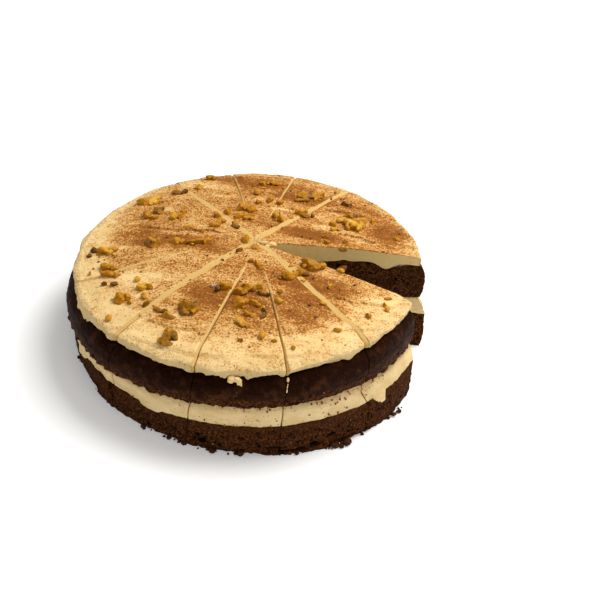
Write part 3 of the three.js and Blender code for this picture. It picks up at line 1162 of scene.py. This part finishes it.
# Painted sheen: greyish patches of reflection on the baked skin.
SKIN_SHEEN = (0.085, 0.044, 0.027)
CRUMB = (0.034, 0.0115, 0.0038)
CRUMB_RED = (0.15, 0.048, 0.013)
CRUMB_DARK = (0.005, 0.002, 0.001)
SPECK = (0.30, 0.11, 0.03)
SUGAR = (0.50, 0.36, 0.23)
SPONGE_GLINT = (1, 0.55, 0.35)
WALNUT_GOLD = (0.55, 0.25, 0.008)
WALNUT_AMBER = (0.40, 0.155, 0.004)
WALNUT_BROWN = (0.21, 0.085, 0.008)
WALNUT_DARK = (0.055, 0.022, 0.007)
WALNUT_PALE = (0.78, 0.46, 0.05)
FLECK_COLOURS = ((0.22, 0.10, 0.03), (0.09, 0.04, 0.013))
LOOSE_CRUMB_COLOURS = ((0.085, 0.027, 0.0085), (0.022, 0.008, 0.003))
LOOSE_SPECK_COLOURS = ((0.44, 0.15, 0.04), (0.22, 0.075, 0.02))


def icing_material():
    finish = Finish("icing", 0.6, 0.1)
    cloud = finish.noise(22, 3)
    cream = finish.mix(finish.step(cloud, 0.35, 0.7), CREAM, CREAM_SHADE)
    cream = finish.mix(finish.attribute("cut"), cream, CREAM_CUT)
    # Painted shade on the icing's side, which is coloured darker than the top.
    cream = finish.mix(finish.times(finish.attribute("side"), 0.6), cream, CREAM_SIDE_SHADE)
    rim = finish.attribute("rim")
    crust = finish.noise(2.6, 3, 0.65)
    cream = finish.mix(finish.times(rim, finish.step(crust, 0.6, 0.35)), cream, CREAM_CRUST)
    # The dragged bands' colour, and painted shade in the creases of the laps.
    cream = finish.mix(finish.attribute("band"), cream, BAND_AND_CREASE_SHADE)

    density = finish.attribute("cinnamon")
    powder = finish.grains(0.8)
    grain = finish.noise(1.3, 2, 0.6)
    clump = finish.noise(7, 2, 0.6, (0.6, 1.2, 1), STREAK_TURN)
    heap = finish.sum(finish.times(powder, 0.8), finish.times(grain, 0.6), finish.times(clump, 0.7))
    heap = finish.sum(heap, -1.05, density)
    soft = finish.sum(density, finish.times(finish.maths("SUBTRACT", clump, 0.5), 0.8))
    colour = finish.mix(finish.step(soft, 0.08, 0.62, 0, 0.95), cream, TAN)
    for low, high, dust in ((0.38, 0.58, DUST_LIGHT), (0.54, 0.8, DUST), (0.9, 1.4, DUST_DARK)):
        colour = finish.mix(finish.step(heap, low, high), colour, dust)
    finish.colour(colour)
    finish.bump([
        (powder, 0.1), (grain, 0.3), (finish.noise(3.5, 3), 0.4), (finish.times(rim, crust), 1.4),
    ])
    finish.soften(0.08, 2)
    return finish.material


def filling_material():
    finish = Finish("filling", 0.6, 0.1)
    cloud = finish.noise(14, 3)
    cream = finish.mix(finish.step(cloud, 0.35, 0.7), FILLING_CREAM, FILLING_SHADE)
    streak = finish.noise(9, 3, 0.6, (1, 1, 5))
    cream = finish.mix(finish.step(streak, 0.5, 0.75, 0, 0.5), cream, FILLING_LIGHT)
    # The top of the filling's side gets painted shade under the upper sponge, mixed with a brown
    # stain, in patches.
    stain_and_shade = finish.step(finish.noise(4, 3), 0.3, 0.7, 0.35, 0.9)
    cream = finish.mix(finish.times(finish.attribute("high"), stain_and_shade), cream, FILLING_STAIN_AND_SHADE)
    speck = finish.step(finish.noise(1.7, 1, 0.5), 0.7, 0.74)
    patch = finish.step(finish.noise(16, 2), 0.4, 0.6, 0.3, 1)
    finish.colour(finish.mix(finish.times(speck, patch), cream, SPECK))
    finish.bump([(finish.noise(1.2, 3, 0.6), 0.25), (finish.noise(4, 3), 0.5), (streak, 0.5)])
    finish.soften(0.1, 2)
    return finish.material


def sponge_material(name, skin_colour, sheen_share, roughness, specular):
    finish = Finish(name, roughness, specular)
    finish.shader.inputs["Specular Tint"].default_value = (*SPONGE_GLINT, 1)
    skin = finish.attribute("skin")
    fine = finish.noise(1.3, 3, 0.7)
    coarse = finish.noise(3, 4, 0.7)
    crumb = finish.mix(finish.step(fine, 0.46, 0.62), CRUMB, CRUMB_RED)
    crumb = finish.mix(finish.step(coarse, 0.47, 0.38), crumb, CRUMB_DARK)
    # Painted shade: the crumb's bubbles and torn holes are coloured nearly black.
    crumb = finish.mix(finish.attribute("pore"), crumb, CRUMB_DARK)

    red = finish.step(finish.noise(9, 5, 0.65), 0.48, 0.66)
    baked = finish.mix(red, skin_colour, SKIN_RED)
    # Painted sheen in greyish patches on the baked skin.
    sheen = finish.step(finish.noise(7, 5, 0.7), 0.52, 0.74, 0, sheen_share)
    baked = finish.mix(sheen, baked, SKIN_SHEEN)
    pit = finish.step(finish.noise(2.1, 2, 0.6), 0.4, 0.3, 0, 0.8)
    baked = finish.mix(pit, baked, CRUMB_DARK)
    colour = finish.mix(skin, crumb, baked)
    # Painted shade towards the top and front of the upper sponge.
    colour = finish.mix(finish.times(finish.attribute("burnt"), 0.75), colour, SKIN_SHADE)

    sugar = finish.step(finish.noise(1.6, 1, 0.5), 0.73, 0.77)
    scattered = finish.step(finish.noise(15, 2), 0.45, 0.65, 0.1, 0.8)
    sugar = finish.times(sugar, finish.step(skin, 0.5, 1, 1, 0.1))
    finish.colour(finish.mix(finish.times(sugar, scattered), colour, SUGAR))
    dry = finish.maths("SUBTRACT", 1.0, finish.times(skin, 0.7))
    finish.bump([
        (finish.times(fine, dry), 1.2),
        (finish.times(coarse, dry), 1.6),
        (finish.noise(3.4, 4, 0.65), 1.5),
        (finish.times(finish.noise(1.7, 2, 0.6), skin), 0.7),
    ])
    return finish.material


def walnut_material():
    finish = Finish("walnut", 0.4, 0.15)
    tone = finish.attribute("tone")
    vein = finish.noise(2.2, 4, 0.65)
    light = finish.mix(finish.step(vein, 0.38, 0.62), WALNUT_GOLD, WALNUT_AMBER)
    deep = finish.mix(finish.step(vein, 0.4, 0.62), WALNUT_BROWN, WALNUT_DARK)
    colour = finish.mix(finish.step(tone, 0.42, 0.85), light, deep)
    pale = finish.step(tone, 0.22, 0.02, 0, 0.8)
    colour = finish.mix(pale, colour, WALNUT_PALE)
    patch = finish.step(finish.noise(4.5, 3, 0.6), 0.6, 0.74, 0, 0.5)
    colour = finish.mix(patch, colour, WALNUT_BROWN)
    colour = finish.mix(finish.step(tone, -0.3, -0.8), colour, SUGAR)
    finish.colour(colour)
    finish.bump([(vein, 0.5), (finish.noise(0.9, 3), 0.25)])
    finish.soften(0.3, 2)
    return finish.material


def plain_material(name, colours, roughness, size):
    """A material for small loose things, mottled between a light and a dark colour."""
    light, dark = colours
    finish = Finish(name, roughness, 0.1)
    finish.colour(finish.mix(finish.step(finish.noise(size, 3, 0.6), 0.35, 0.65), light, dark))
    finish.bump([(finish.noise(size * 0.5, 3), 0.3)])
    return finish.material


# Broken walnut.

# Tones run from 0, golden, to 1, dark brown, and -1 is white with sugar.
# The largest pieces: place, size, turn in degrees and tone.
WALNUTS = (
    (-53, -98, (15, 9, 8), 62, 0.55), (-41, -71, (12, 11, 9), 10, 0.62),
    (36, 77, (18, 9, 7), 8, 0.4), (-84, 67, (17, 8, 7), 28, 0.25),
    (38, -21, (14, 9, 8), -20, 0.45), (67, 35, (12, 10, 9), 5, 0.2),
    (-106, -2, (14, 7, 6), -5, 0.15), (-74, 5, (10, 10, 8), 40, 0.5),
)
# A large piece is broken up into lumps: shift along and across it, and share of its size.
NUT_LUMPS = ((-0.06, 0, 1.08), (0.26, 0.12, 0.75), (0.2, -0.22, 0.66), (-0.32, -0.14, 0.66))
# The smaller pieces: place, length, width, turn in degrees and tone.
BITS = (
    (-41, 106, 5.9, 5.5, 0, 0.2), (-49, 87, 5.2, 4.5, 10, 0.05), (-63, 80, 8.9, 5.5, 5, 0.6),
    (-62, 41, 6.7, 6.4, 20, 0.1), (-57, 47, 4.4, 4.5, 0, 0.1), (-81, 42, 8.9, 7.3, -10, 0.25),
    (-75, 50, 5.9, 7.3, 60, 0.6), (-57, 6, 7.4, 5.5, -10, 0.15), (-41, 6, 13.3, 5.5, 5, 0.2),
    (-50, 25, 5.9, 3.6, 0, 0.1), (-33, 27, 5.9, 4.5, 0, 0.1), (-29, 33, 5.9, 5.5, 20, 0.1),
    (-115, 0, 3.7, 5.5, 60, 0.95), (-118, -6, 3.7, 2.7, 20, 0.85), (-95, -42, 4.4, 3.6, 10, 0.6),
    (-102, -41, 3.7, 2.7, 0, 0.9), (-101, -23, 8.9, 6.4, -20, 0.3), (-99, -31, 9.6, 6.4, -5, 0.25),
    (-80, -38, 4.4, 4.5, 0, 0.05), (-74, -48, 6.7, 8.2, 0, 0.1), (-73, -57, 3.7, 4.5, 0, 0.1),
    (-87, -59, 8.1, 9.1, 30, 0.2), (-82, -63, 3.7, 2.7, 0, 0.5), (-71, -65, 4.4, 4.5, 0, 0.6),
    (-94, -77, 3.7, 3.6, -30, 0.1), (-61, -72, 6.7, 4.5, -30, 0.6), (-55, -78, 6.7, 5.5, -30, 0.4),
    (-64, -69, 3, 2.7, 0, 0.1), (-29, -47, 3, 2.4, 0, -1), (-26.5, -46, 2.4, 2.2, 40, -1),
    (-25, -51, 4.4, 4.5, 0, 0.8),
    (-20, -49, 5.2, 7.3, 80, 0.1), (-10, -53, 6.7, 6.4, 0, 0.4), (-4, -50, 6.7, 6.4, 20, 0.3),
    (-7, -46, 4.4, 4.5, 0, 0.2), (2, -48, 4.4, 6.4, 60, 0.1), (6, -54, 6.7, 4.5, -10, 0.6),
    (-8, -65, 8.1, 8.2, 20, 0.2), (1, -65, 5.9, 4.5, -40, 0.05), (7, -74, 6.7, 3.6, 75, 0.7),
    (-2, -76, 5.9, 3.6, 0, 0.1), (-6, -85, 7.4, 5.5, -50, 0.1), (7, -95, 4.4, 5.5, 0, 0.1),
    (28, -105, 3, 3.6, 0, 0.3), (-6, -100, 3.7, 2.7, 0, 0.5), (15, -100, 3, 2.7, 0, 0.3),
    (-10, 7, 5.2, 6.4, 0, 0.1), (-13, -6, 5.2, 3.6, 60, 0.6), (-18, 27, 5.9, 4.5, -60, 0.6),
    (-2, -2, 4.4, 3.6, 0, 0.05), (1, -23, 6.7, 5.5, -70, 0.2), (-4, -18, 3.7, 3.6, 0, 0.3),
    (-15, 53, 7.4, 7.3, -20, 0.25), (-8, 52, 6.7, 6.4, 80, 0.3), (-15, 41, 8.9, 4.5, 10, 0.2),
    (-9, 38, 5.9, 3.6, 0, 0.2), (-32, 42, 5.2, 5.5, 0, 0.4), (-24, 46, 4.4, 5.5, 30, 0.35),
    (-3, 63, 3.7, 4.5, 0, 0.2), (-5, 78, 5.2, 4.5, -60, 0.1), (5, 67, 5.9, 5.5, 80, 0.2),
    (12, 64, 5.2, 5.5, 0, 0.25), (0, 96, 5.9, 4.5, 0, 0.3), (8, 96, 5.9, 4.5, 0, 0.2),
    (-1, 87, 3.7, 2.7, 0, 0.1), (14, 38, 5.2, 5.5, 0, 0.2), (10, 42, 4.4, 5.5, 0, 0.1),
    (30, 50, 5.9, 5.5, 20, 0.2), (26, 50, 3.7, 3.6, 0, 0.2), (34, 45, 7.4, 3.6, -10, 0.5),
    (29, 69, 8.9, 3.6, 5, 0.55), (62, 67, 5.9, 4.5, -35, 0.8), (65, 50, 7.4, 4.5, 10, 0.5),
    (57, 42, 4.4, 4.5, 0, 0.05), (62, 40, 5.2, 4.5, 0, 0.05), (69, 42, 6.7, 4.5, 0, 0.2),
    (52, 36, 5.2, 4.5, 0, 0.2), (54, 29, 6.7, 3.6, 0, 0.05), (74, 44, 4.4, 4.5, 0, 0.05),
    (81, 45, 4.4, 4.5, 0, 0.1), (98, 24, 4.4, 2.7, -20, 0.2), (61, 13, 3.7, 3.6, 0, 0.2),
    (46, 17, 4.4, 2.7, 0, 0.2), (48, 10, 3.7, 3.6, 0, 0.2), (23, -33, 8.1, 8.2, 20, 0.2),
    (31, -29, 7.4, 5.5, -35, 0.45), (57, -24, 4.4, 3.6, 0, 0.1), (50, -43, 3.7, 3.6, 0, 0.1),
    (46, -61, 4.4, 2.7, -15, 0.05), (17, -52, 3.7, 3.6, 0, 0.2), (17, -61, 5.2, 4.5, 0, 0.1),
    (56, -86, 4.4, 3.6, 0, 0.1), (76, -70, 3.7, 3.6, 0, 0.5), (89, -60, 3.7, 3.6, 0, 0.05),
    (90, -49, 4.4, 2.7, 0, 0.1), (87, -56, 3, 2.7, 0, 0.3),
)
# A smaller piece that is longer than this is made of two lumps.
ONE_LUMP_LENGTH = 5.5
# Pieces caught in the rear wall of the gap: how far out, height, length and width.
WALL_BITS = ((59, 79.5, 6.5, 4), (61, 63.5, 7, 6))
WALL_BITS_Y = 5.7
WALL_BITS_DEPTH = 2.4
# Places of the largest dark flecks of nut skin.
FLECKS = (
    (13, 47), (8, 28), (51, 76), (55, 65), (58, 77), (54, 87), (100, 33), (88, 6), (30, 16), (36, 15),
    (82, 75), (39, -34), (24, -70), (6, -18), (1, -74), (-58, 21), (-58, 35), (-34, 3), (-24, -17),
    (-28, -25), (-38, -26), (-44, -40), (-60, -46), (-62, -52), (-16, -32), (-9, -39), (-35, -12),
    (-62, 60), (-8, -12), (-95, -17), (-91, -28), (-79, -29), (-110, -14), (-106, -12), (-33, -94),
    (0, -106), (-42, -87), (41, -75), (31, -88), (46, -96), (61, -99), (37, -63), (57, -45), (67, -38),
    (77, -52),
)


def sphere_mesh(level):
    builder = bmesh.new()
    bmesh.ops.create_icosphere(builder, subdivisions=level, radius=1.0)
    points = np.array([vertex.co[:] for vertex in builder.verts])
    faces = [[vertex.index for vertex in face.verts] for face in builder.faces]
    builder.free()
    return points, faces


# How sharp the edges between broken faces are.
SHARPNESS = 22


def broken_lump(sphere, size, turn, seed, flats=9, rough=0.1):
    """A chunk with flat broken faces and soft edges, about its own middle."""
    generator = np.random.default_rng(seed)
    normals = generator.normal(size=(flats, 3))
    normals /= np.linalg.norm(normals, axis=1)[:, None]
    limits = generator.uniform(0.5, 0.92, flats)
    facing = np.maximum(sphere @ normals.T, 1e-3)
    radius = np.sum((facing / limits) ** SHARPNESS, axis=1) + 1.12**-SHARPNESS
    shape = sphere * (radius ** (-1 / SHARPNESS))[:, None] * (np.asarray(size) / 2)
    height = rough * layered_noise(shape + 50 * seed, 2.6, 801, 3) * min(size) / 2
    shape += sphere * height[:, None]
    angle = math.radians(turn)
    c, s = math.cos(angle), math.sin(angle)
    turned = shape.copy()
    turned[:, 0] = shape[:, 0] * c - shape[:, 1] * s
    turned[:, 1] = shape[:, 0] * s + shape[:, 1] * c
    return turned


def joined(parts):
    """One set of points, faces and tones from (points, faces, tone) parts."""
    points, faces, tones = [], [], []
    count = 0
    for part_points, part_faces, tone in parts:
        points.append(part_points)
        tones.append(np.full(len(part_points), tone))
        faces.extend([[n + count for n in face] for face in part_faces])
        count += len(part_points)
    return np.concatenate(points), faces, {"tone": np.concatenate(tones)}


def on_icing(x, y):
    return float(icing_top(np.array([x]), np.array([y]))[0])


def make_walnuts(material):
    sphere, sphere_faces = sphere_mesh(4)
    for index, (x, y, size, turn, tone) in enumerate(WALNUTS):
        angle = math.radians(turn)
        lumps = []
        for number, (ahead, aside, scale) in enumerate(NUT_LUMPS):
            seed = 900 + 7 * index + number
            part_size = [scale * length for length in size]
            lump = broken_lump(sphere, part_size, turn + 35 * number, seed, 10, 0.24)
            ahead, aside = ahead * size[0], aside * size[1]
            place_x = x + ahead * math.cos(angle) - aside * math.sin(angle)
            place_y = y + ahead * math.sin(angle) + aside * math.cos(angle)
            height = on_icing(place_x, place_y) + 0.2 * scale * size[2]
            lumps.append((lump + np.array([place_x, place_y, height]), sphere_faces, 0.0))
        nut, faces, _ = joined(lumps)
        floor = icing_top(nut[:, 0], nut[:, 1]) + 0.1
        nut[:, 2] = np.maximum(nut[:, 2], floor)
        node = f"walnut_{index + 1:02d}"
        tones = {"tone": np.clip(tone + 0.45 * layered_noise(nut, 5, 811 + index, 2), 0, 1)}
        piece = make_object(f"{node}.nut", nut, faces, tones, material, 35)
        declare(piece, "walnut", node)


def make_walnut_bits(material):
    sphere, faces = sphere_mesh(4)
    parts = []
    for seed, (x, y, length, width, turn, tone) in enumerate(BITS):
        # Each lump's share of the size, and its shift along the piece as a share of the length.
        lumps = ((1.1, -0.2), (0.75, 0.42)) if length > ONE_LUMP_LENGTH else ((1.2, 0),)
        angle = math.radians(turn + 40 * (chance(seed + 0.2) - 0.5))
        for number, (share_of, shift) in enumerate(lumps):
            size = (length * share_of, width * share_of, 0.7 * width * share_of + 1)
            lump = broken_lump(sphere, size, turn + 50 * number, 1000 + 2 * seed + number, 10, 0.22)
            aside = shift * length
            place = (x + aside * math.cos(angle), y + aside * math.sin(angle))
            lump += np.array([*place, on_icing(*place) + 0.2 * size[2]])
            shade = tone + (0.15 * (chance(seed + 0.45) + number) if tone >= 0 else 0)
            parts.append((lump, faces, shade))
    for seed, (x, z, length, width) in enumerate(WALL_BITS):
        lump = broken_lump(sphere, (length, WALL_BITS_DEPTH, width), 0, 1900 + seed, 8, 0.3)
        parts.append((lump + np.array([x, WALL_BITS_Y, z]), faces, 0.6))
    piece = make_object("walnut_bits", *joined(parts), material, 35)
    declare(piece, "walnut")


def strewn(generator, count, place, sphere, faces, sizes, tones):
    """Small lumps at random places, as parts to join."""
    parts = []
    for number in range(count):
        x, y, z = place(generator)
        length = generator.uniform(*sizes)
        size = (length, length * generator.uniform(0.5, 0.9), length * generator.uniform(0.4, 0.8))
        lump = broken_lump(sphere, size, generator.uniform(0, 360), 2000 + number, 6, 0.2)
        parts.append((lump + np.array([x, y, z]), faces, generator.uniform(*tones)))
    return parts


# Middles of the places where the finest chips lie thickest, and how far they spread.
CHIP_PLACES = (
    (-76, 47, 18), (-101, -26, 14), (-16, 48, 20), (-8, -54, 18), (-50, 22, 24), (-40, 94, 20),
    (62, 42, 22), (30, 74, 20), (-55, -70, 16), (8, 78, 22), (20, -30, 14), (-30, 10, 24),
    (-80, -52, 16), (10, 40, 24), (70, 70, 14), (-106, -4, 10), (0, -78, 18),
)


def in_gap(x, y, margin):
    angle = math.degrees(math.atan2(y - CROSSING[1], x - CROSSING[0]))
    return CUT_DIRECTIONS[0] - margin < angle < CUT_DIRECTIONS[1] + margin


def near_cut(x, y, clear):
    for edge in range(PORTIONS):
        out, left, _ = from_cut(np.array([[x, y]]), edge)
        if out[0] > 0 and abs(left[0]) < clear:
            return True
    return False


def chip_place(generator):
    while True:
        middle_x, middle_y, spread = CHIP_PLACES[generator.integers(len(CHIP_PLACES))]
        x = middle_x + generator.normal() * spread * 0.6
        y = middle_y + generator.normal() * spread * 0.5
        inside = math.dist((x, y), UPPER_CENTRE) < 113
        if inside and not in_gap(x, y, 3) and not near_cut(x, y, 1.6):
            return x, y, on_icing(x, y) + 0.35


def make_chips(walnut, fleck):
    small, faces = sphere_mesh(2)
    generator = np.random.default_rng(31)
    chips = strewn(generator, 120, chip_place, small, faces, (1.4, 3.2), (0.0, 0.6))
    piece = make_object("walnut_chips", *joined(chips), walnut, 40)
    declare(piece, "walnut")
    flecks = strewn(generator, 40, chip_place, small, faces, (0.8, 1.8), (0.8, 1.0))
    for number, (x, y) in enumerate(FLECKS):
        length = 1.4 + 1.4 * chance(number + 0.7)
        size = (length, 0.6 * length, 0.5 * length)
        lump = broken_lump(small, size, 360 * chance(number), 2500 + number, 6, 0.2)
        flecks.append((lump + np.array([x, y, on_icing(x, y) + 0.35]), faces, 1.0))
    piece = make_object("walnut_skin_flecks", *joined(flecks), fleck, 40)
    declare(piece, "walnut")


# Crumbs that lie round the foot: direction in degrees, how far out and length.
FOOT_CRUMBS = (
    (-141, 126.6, 4), (-121, 127.2, 5), (-112, 126.6, 4), (-107, 126.8, 4.5), (-98.5, 127.4, 6),
    (-90, 127.4, 5.5), (-73, 126.8, 4), (-60.5, 128, 7), (-59, 130, 4.5), (-56.5, 128, 7),
    (-50, 126.4, 3), (-36, 127.4, 5), (-33.5, 128.5, 4), (-160, 127, 3), (150, 127.4, 4),
    (96, 126.8, 4), (30, 128, 4.5), (12, 127.6, 4), (55, 127.6, 3.5),
)


# Each crumb lies in a small heap of pieces, with these shares of its length.
CRUMB_HEAP = (1, 0.55, 0.4, 0.3)
# Where specks lie on the filling: direction and spread in degrees.
SPECK_PLACES = (
    (-88, 3), (-81, 4), (-78, 5), (-64, 3), (-60, 5), (-50, 5), (-96, 4), (-130, 30), (0, 100),
    (120, 60),
)
SPECKS = 260


def make_crumbs(generator, material):
    sphere, faces = sphere_mesh(3)
    parts = []
    for number, (degrees, out, length) in enumerate(FOOT_CRUMBS):
        angle = math.radians(degrees)
        for extra, share_of in enumerate(CRUMB_HEAP):
            size = length * share_of
            swing = angle + generator.normal() * 0.02 * extra
            turn = generator.uniform(0, 360)
            seed = 3000 + len(CRUMB_HEAP) * number + extra
            lump = broken_lump(sphere, (size, size * 0.8, size * 0.7), turn, seed, 7, 0.4)
            away = out + generator.uniform(-1.5, 0.5) * (1 if extra else 0)
            lump += np.array([away * math.cos(swing), away * math.sin(swing), size * 0.3])
            lump[:, 2] = np.maximum(lump[:, 2], 0.02)
            parts.append((lump, faces, 0.5))
    piece = make_object("sponge_crumbs", *joined(parts), material, 40)
    declare(piece, "lower_sponge")


def make_specks(generator, material):
    sphere, faces = sphere_mesh(2)
    parts = []
    for number in range(SPECKS):
        middle, spread = SPECK_PLACES[number % len(SPECK_PLACES)]
        angle = math.radians(middle + spread * generator.normal())
        x = RIM * math.cos(angle) + LOWER_CENTRE[0] - 1
        y = RIM * math.sin(angle) + LOWER_CENTRE[1] - 1
        if in_gap(x, y, 3):
            continue
        here = np.array([x]), np.array([y])
        low = float(lower_sponge_top(*here)[0]) + 0.5
        high = float(filling_top(*here)[0]) - 0.8
        length = 0.7 + 1.7 * generator.uniform() ** 3
        size = (length, length * 0.7, length * 0.8)
        lump = broken_lump(sphere, size, math.degrees(angle), 4000 + number, 6, 0.3)
        parts.append((lump + np.array([x, y, generator.uniform(low, high)]), faces, 0.5))
    piece = make_object("filling_specks", *joined(parts), material, 40)
    declare(piece, "filling")


# Lumps of loose cream: place and size.
HANGING_DROP = (
    ((-9.4, -124.2, 62.4), (6, 5, 5)),
    ((-6.4, -124.8, 62.4), (5.5, 4.8, 5)),
    ((-4.3, -125.6, 60.6), (5.4, 4.8, 6.6)),
)
TORN_TIP = (
    ((3.6, 5.6, 79.2), (4.6, 3.6, 2.6)),
    ((7, 5.2, 79.1), (5, 4, 3)),
    ((10.4, 5.2, 79), (4, 3, 2.6)),
    ((5.6, 2.8, 78.6), (3.6, 3, 2.2)),
    ((8.4, 7.2, 79.2), (3.4, 2.6, 2)),
)
DRAGGED_CREAM = (
    ((26, -122.2, 64), (1.6, 1.7, 5)),
    ((26.2, -124.2, 61), (1.4, 1.8, 5)),
    ((26, -125.6, 58), (1, 1.4, 4)),
)
CROSSING_FILL = ((CROSSING[0] - 0.4, CROSSING[1], 77.6), (7, 6, 2.4))


def make_drip(material):
    """Loose cream: at the front rim, at the gap's inner end, in a cut and over the crossing."""
    sphere, faces = sphere_mesh(4)
    parts = []
    for number, (place, size) in enumerate(HANGING_DROP + TORN_TIP + DRAGGED_CREAM):
        lump = broken_lump(sphere, size, 0, 5001 + number, 7, 0.25)
        parts.append((lump + np.array(place), faces, 0.0))
    place, size = CROSSING_FILL
    parts.append((broken_lump(sphere, size, 30, 5050, 4, 0.1) + np.array(place), faces, 1.0))
    points, faces, tones = joined(parts)
    attributes = {key: np.zeros(len(points)) for key in ("cinnamon", "cut", "rim", "side")}
    attributes["band"] = tones["tone"]
    piece = make_object("icing_drip", points, faces, attributes, material)
    declare(piece, "icing")


# Camera, stage and light.

def make_camera():
    forward = Vector((
        math.sin(CAMERA_YAW) * math.cos(CAMERA_PITCH),
        math.cos(CAMERA_YAW) * math.cos(CAMERA_PITCH),
        -math.sin(CAMERA_PITCH),
    ))
    right = Vector((math.cos(CAMERA_YAW), -math.sin(CAMERA_YAW), 0))
    up = right.cross(forward)
    rolled_right = math.cos(CAMERA_ROLL) * right + math.sin(CAMERA_ROLL) * up
    rolled_up = -math.sin(CAMERA_ROLL) * right + math.cos(CAMERA_ROLL) * up
    turn = Matrix((rolled_right, rolled_up, -forward)).transposed().to_4x4()
    data = bpy.data.cameras.new("camera")
    data.lens = CAMERA_LENS
    data.sensor_width = CAMERA_SENSOR
    data.clip_start = 0.01
    camera = bpy.data.objects.new("camera", data)
    camera.matrix_world = Matrix.Translation(CAMERA_PLACE) @ turn
    bpy.context.scene.collection.objects.link(camera)
    bpy.context.scene.camera = camera


LOOK_AT = Vector((0, 0, 0.04))
# The lights: name, place in metres, size, power in watts and colour.
LIGHTS = (
    ("key", (0.5, 0.25, 1.15), 0.7, 16.8, (1, 0.985, 0.96)),
    ("front_fill", (0.55, -1.0, 0.95), 0.9, 2.4, (1, 0.98, 0.95)),
)
SKY_STRENGTH = 0.38
FLOOR_HALF = 3.0
FLOOR_COLOUR = (0.9, 0.9, 0.9, 1)
FLOOR_GLOW = 0.2
WHITE = (1, 1, 1, 1)


def make_light(name, place, size, power, colour):
    data = bpy.data.lights.new(name, "AREA")
    data.size = size
    data.energy = power
    data.color = colour
    light = bpy.data.objects.new(name, data)
    light.location = place
    light.rotation_mode = "QUATERNION"
    light.rotation_quaternion = (LOOK_AT - Vector(place)).to_track_quat("-Z", "Y")
    bpy.context.scene.collection.objects.link(light)


def make_stage():
    corners = [(-1, -1, 0), (1, -1, 0), (1, 1, 0), (-1, 1, 0)]
    points = np.array(corners) * FLOOR_HALF / METRES
    finish = Finish("floor", 0.8, 0.2)
    finish.shader.inputs["Base Color"].default_value = FLOOR_COLOUR
    finish.shader.inputs["Emission Color"].default_value = WHITE
    finish.shader.inputs["Emission Strength"].default_value = FLOOR_GLOW
    floor = make_object("floor", points, [[0, 1, 2, 3]], {}, finish.material)
    world = bpy.data.worlds.new("studio")
    bpy.context.scene.world = world
    world.use_nodes = True
    background = world.node_tree.nodes["Background"]
    background.inputs["Color"].default_value = WHITE
    background.inputs["Strength"].default_value = SKY_STRENGTH
    for light in LIGHTS:
        make_light(*light)
    view = bpy.context.scene.view_settings
    view.view_transform = "Standard"
    view.look = "None"
    view.exposure = 0


make_camera()
make_stage()
materials = {
    "lower_sponge": sponge_material("lower_sponge", SKIN_RED, 0.2, 0.8, 0.03),
    "filling": filling_material(),
    "upper_sponge": sponge_material("upper_sponge", SKIN, 0.4, 0.6, 0.04),
    "icing": icing_material(),
}
walnut_finish = walnut_material()
make_layers(materials)
make_walnuts(walnut_finish)
make_walnut_bits(walnut_finish)
make_chips(walnut_finish, plain_material("dark_fleck", FLECK_COLOURS, 0.7, 1.5))
crumb_draws = np.random.default_rng(47)
make_crumbs(crumb_draws, plain_material("crumb", LOOSE_CRUMB_COLOURS, 0.9, 1.5))
make_specks(crumb_draws, plain_material("speck", LOOSE_SPECK_COLOURS, 0.8, 1))
make_drip(materials["icing"])
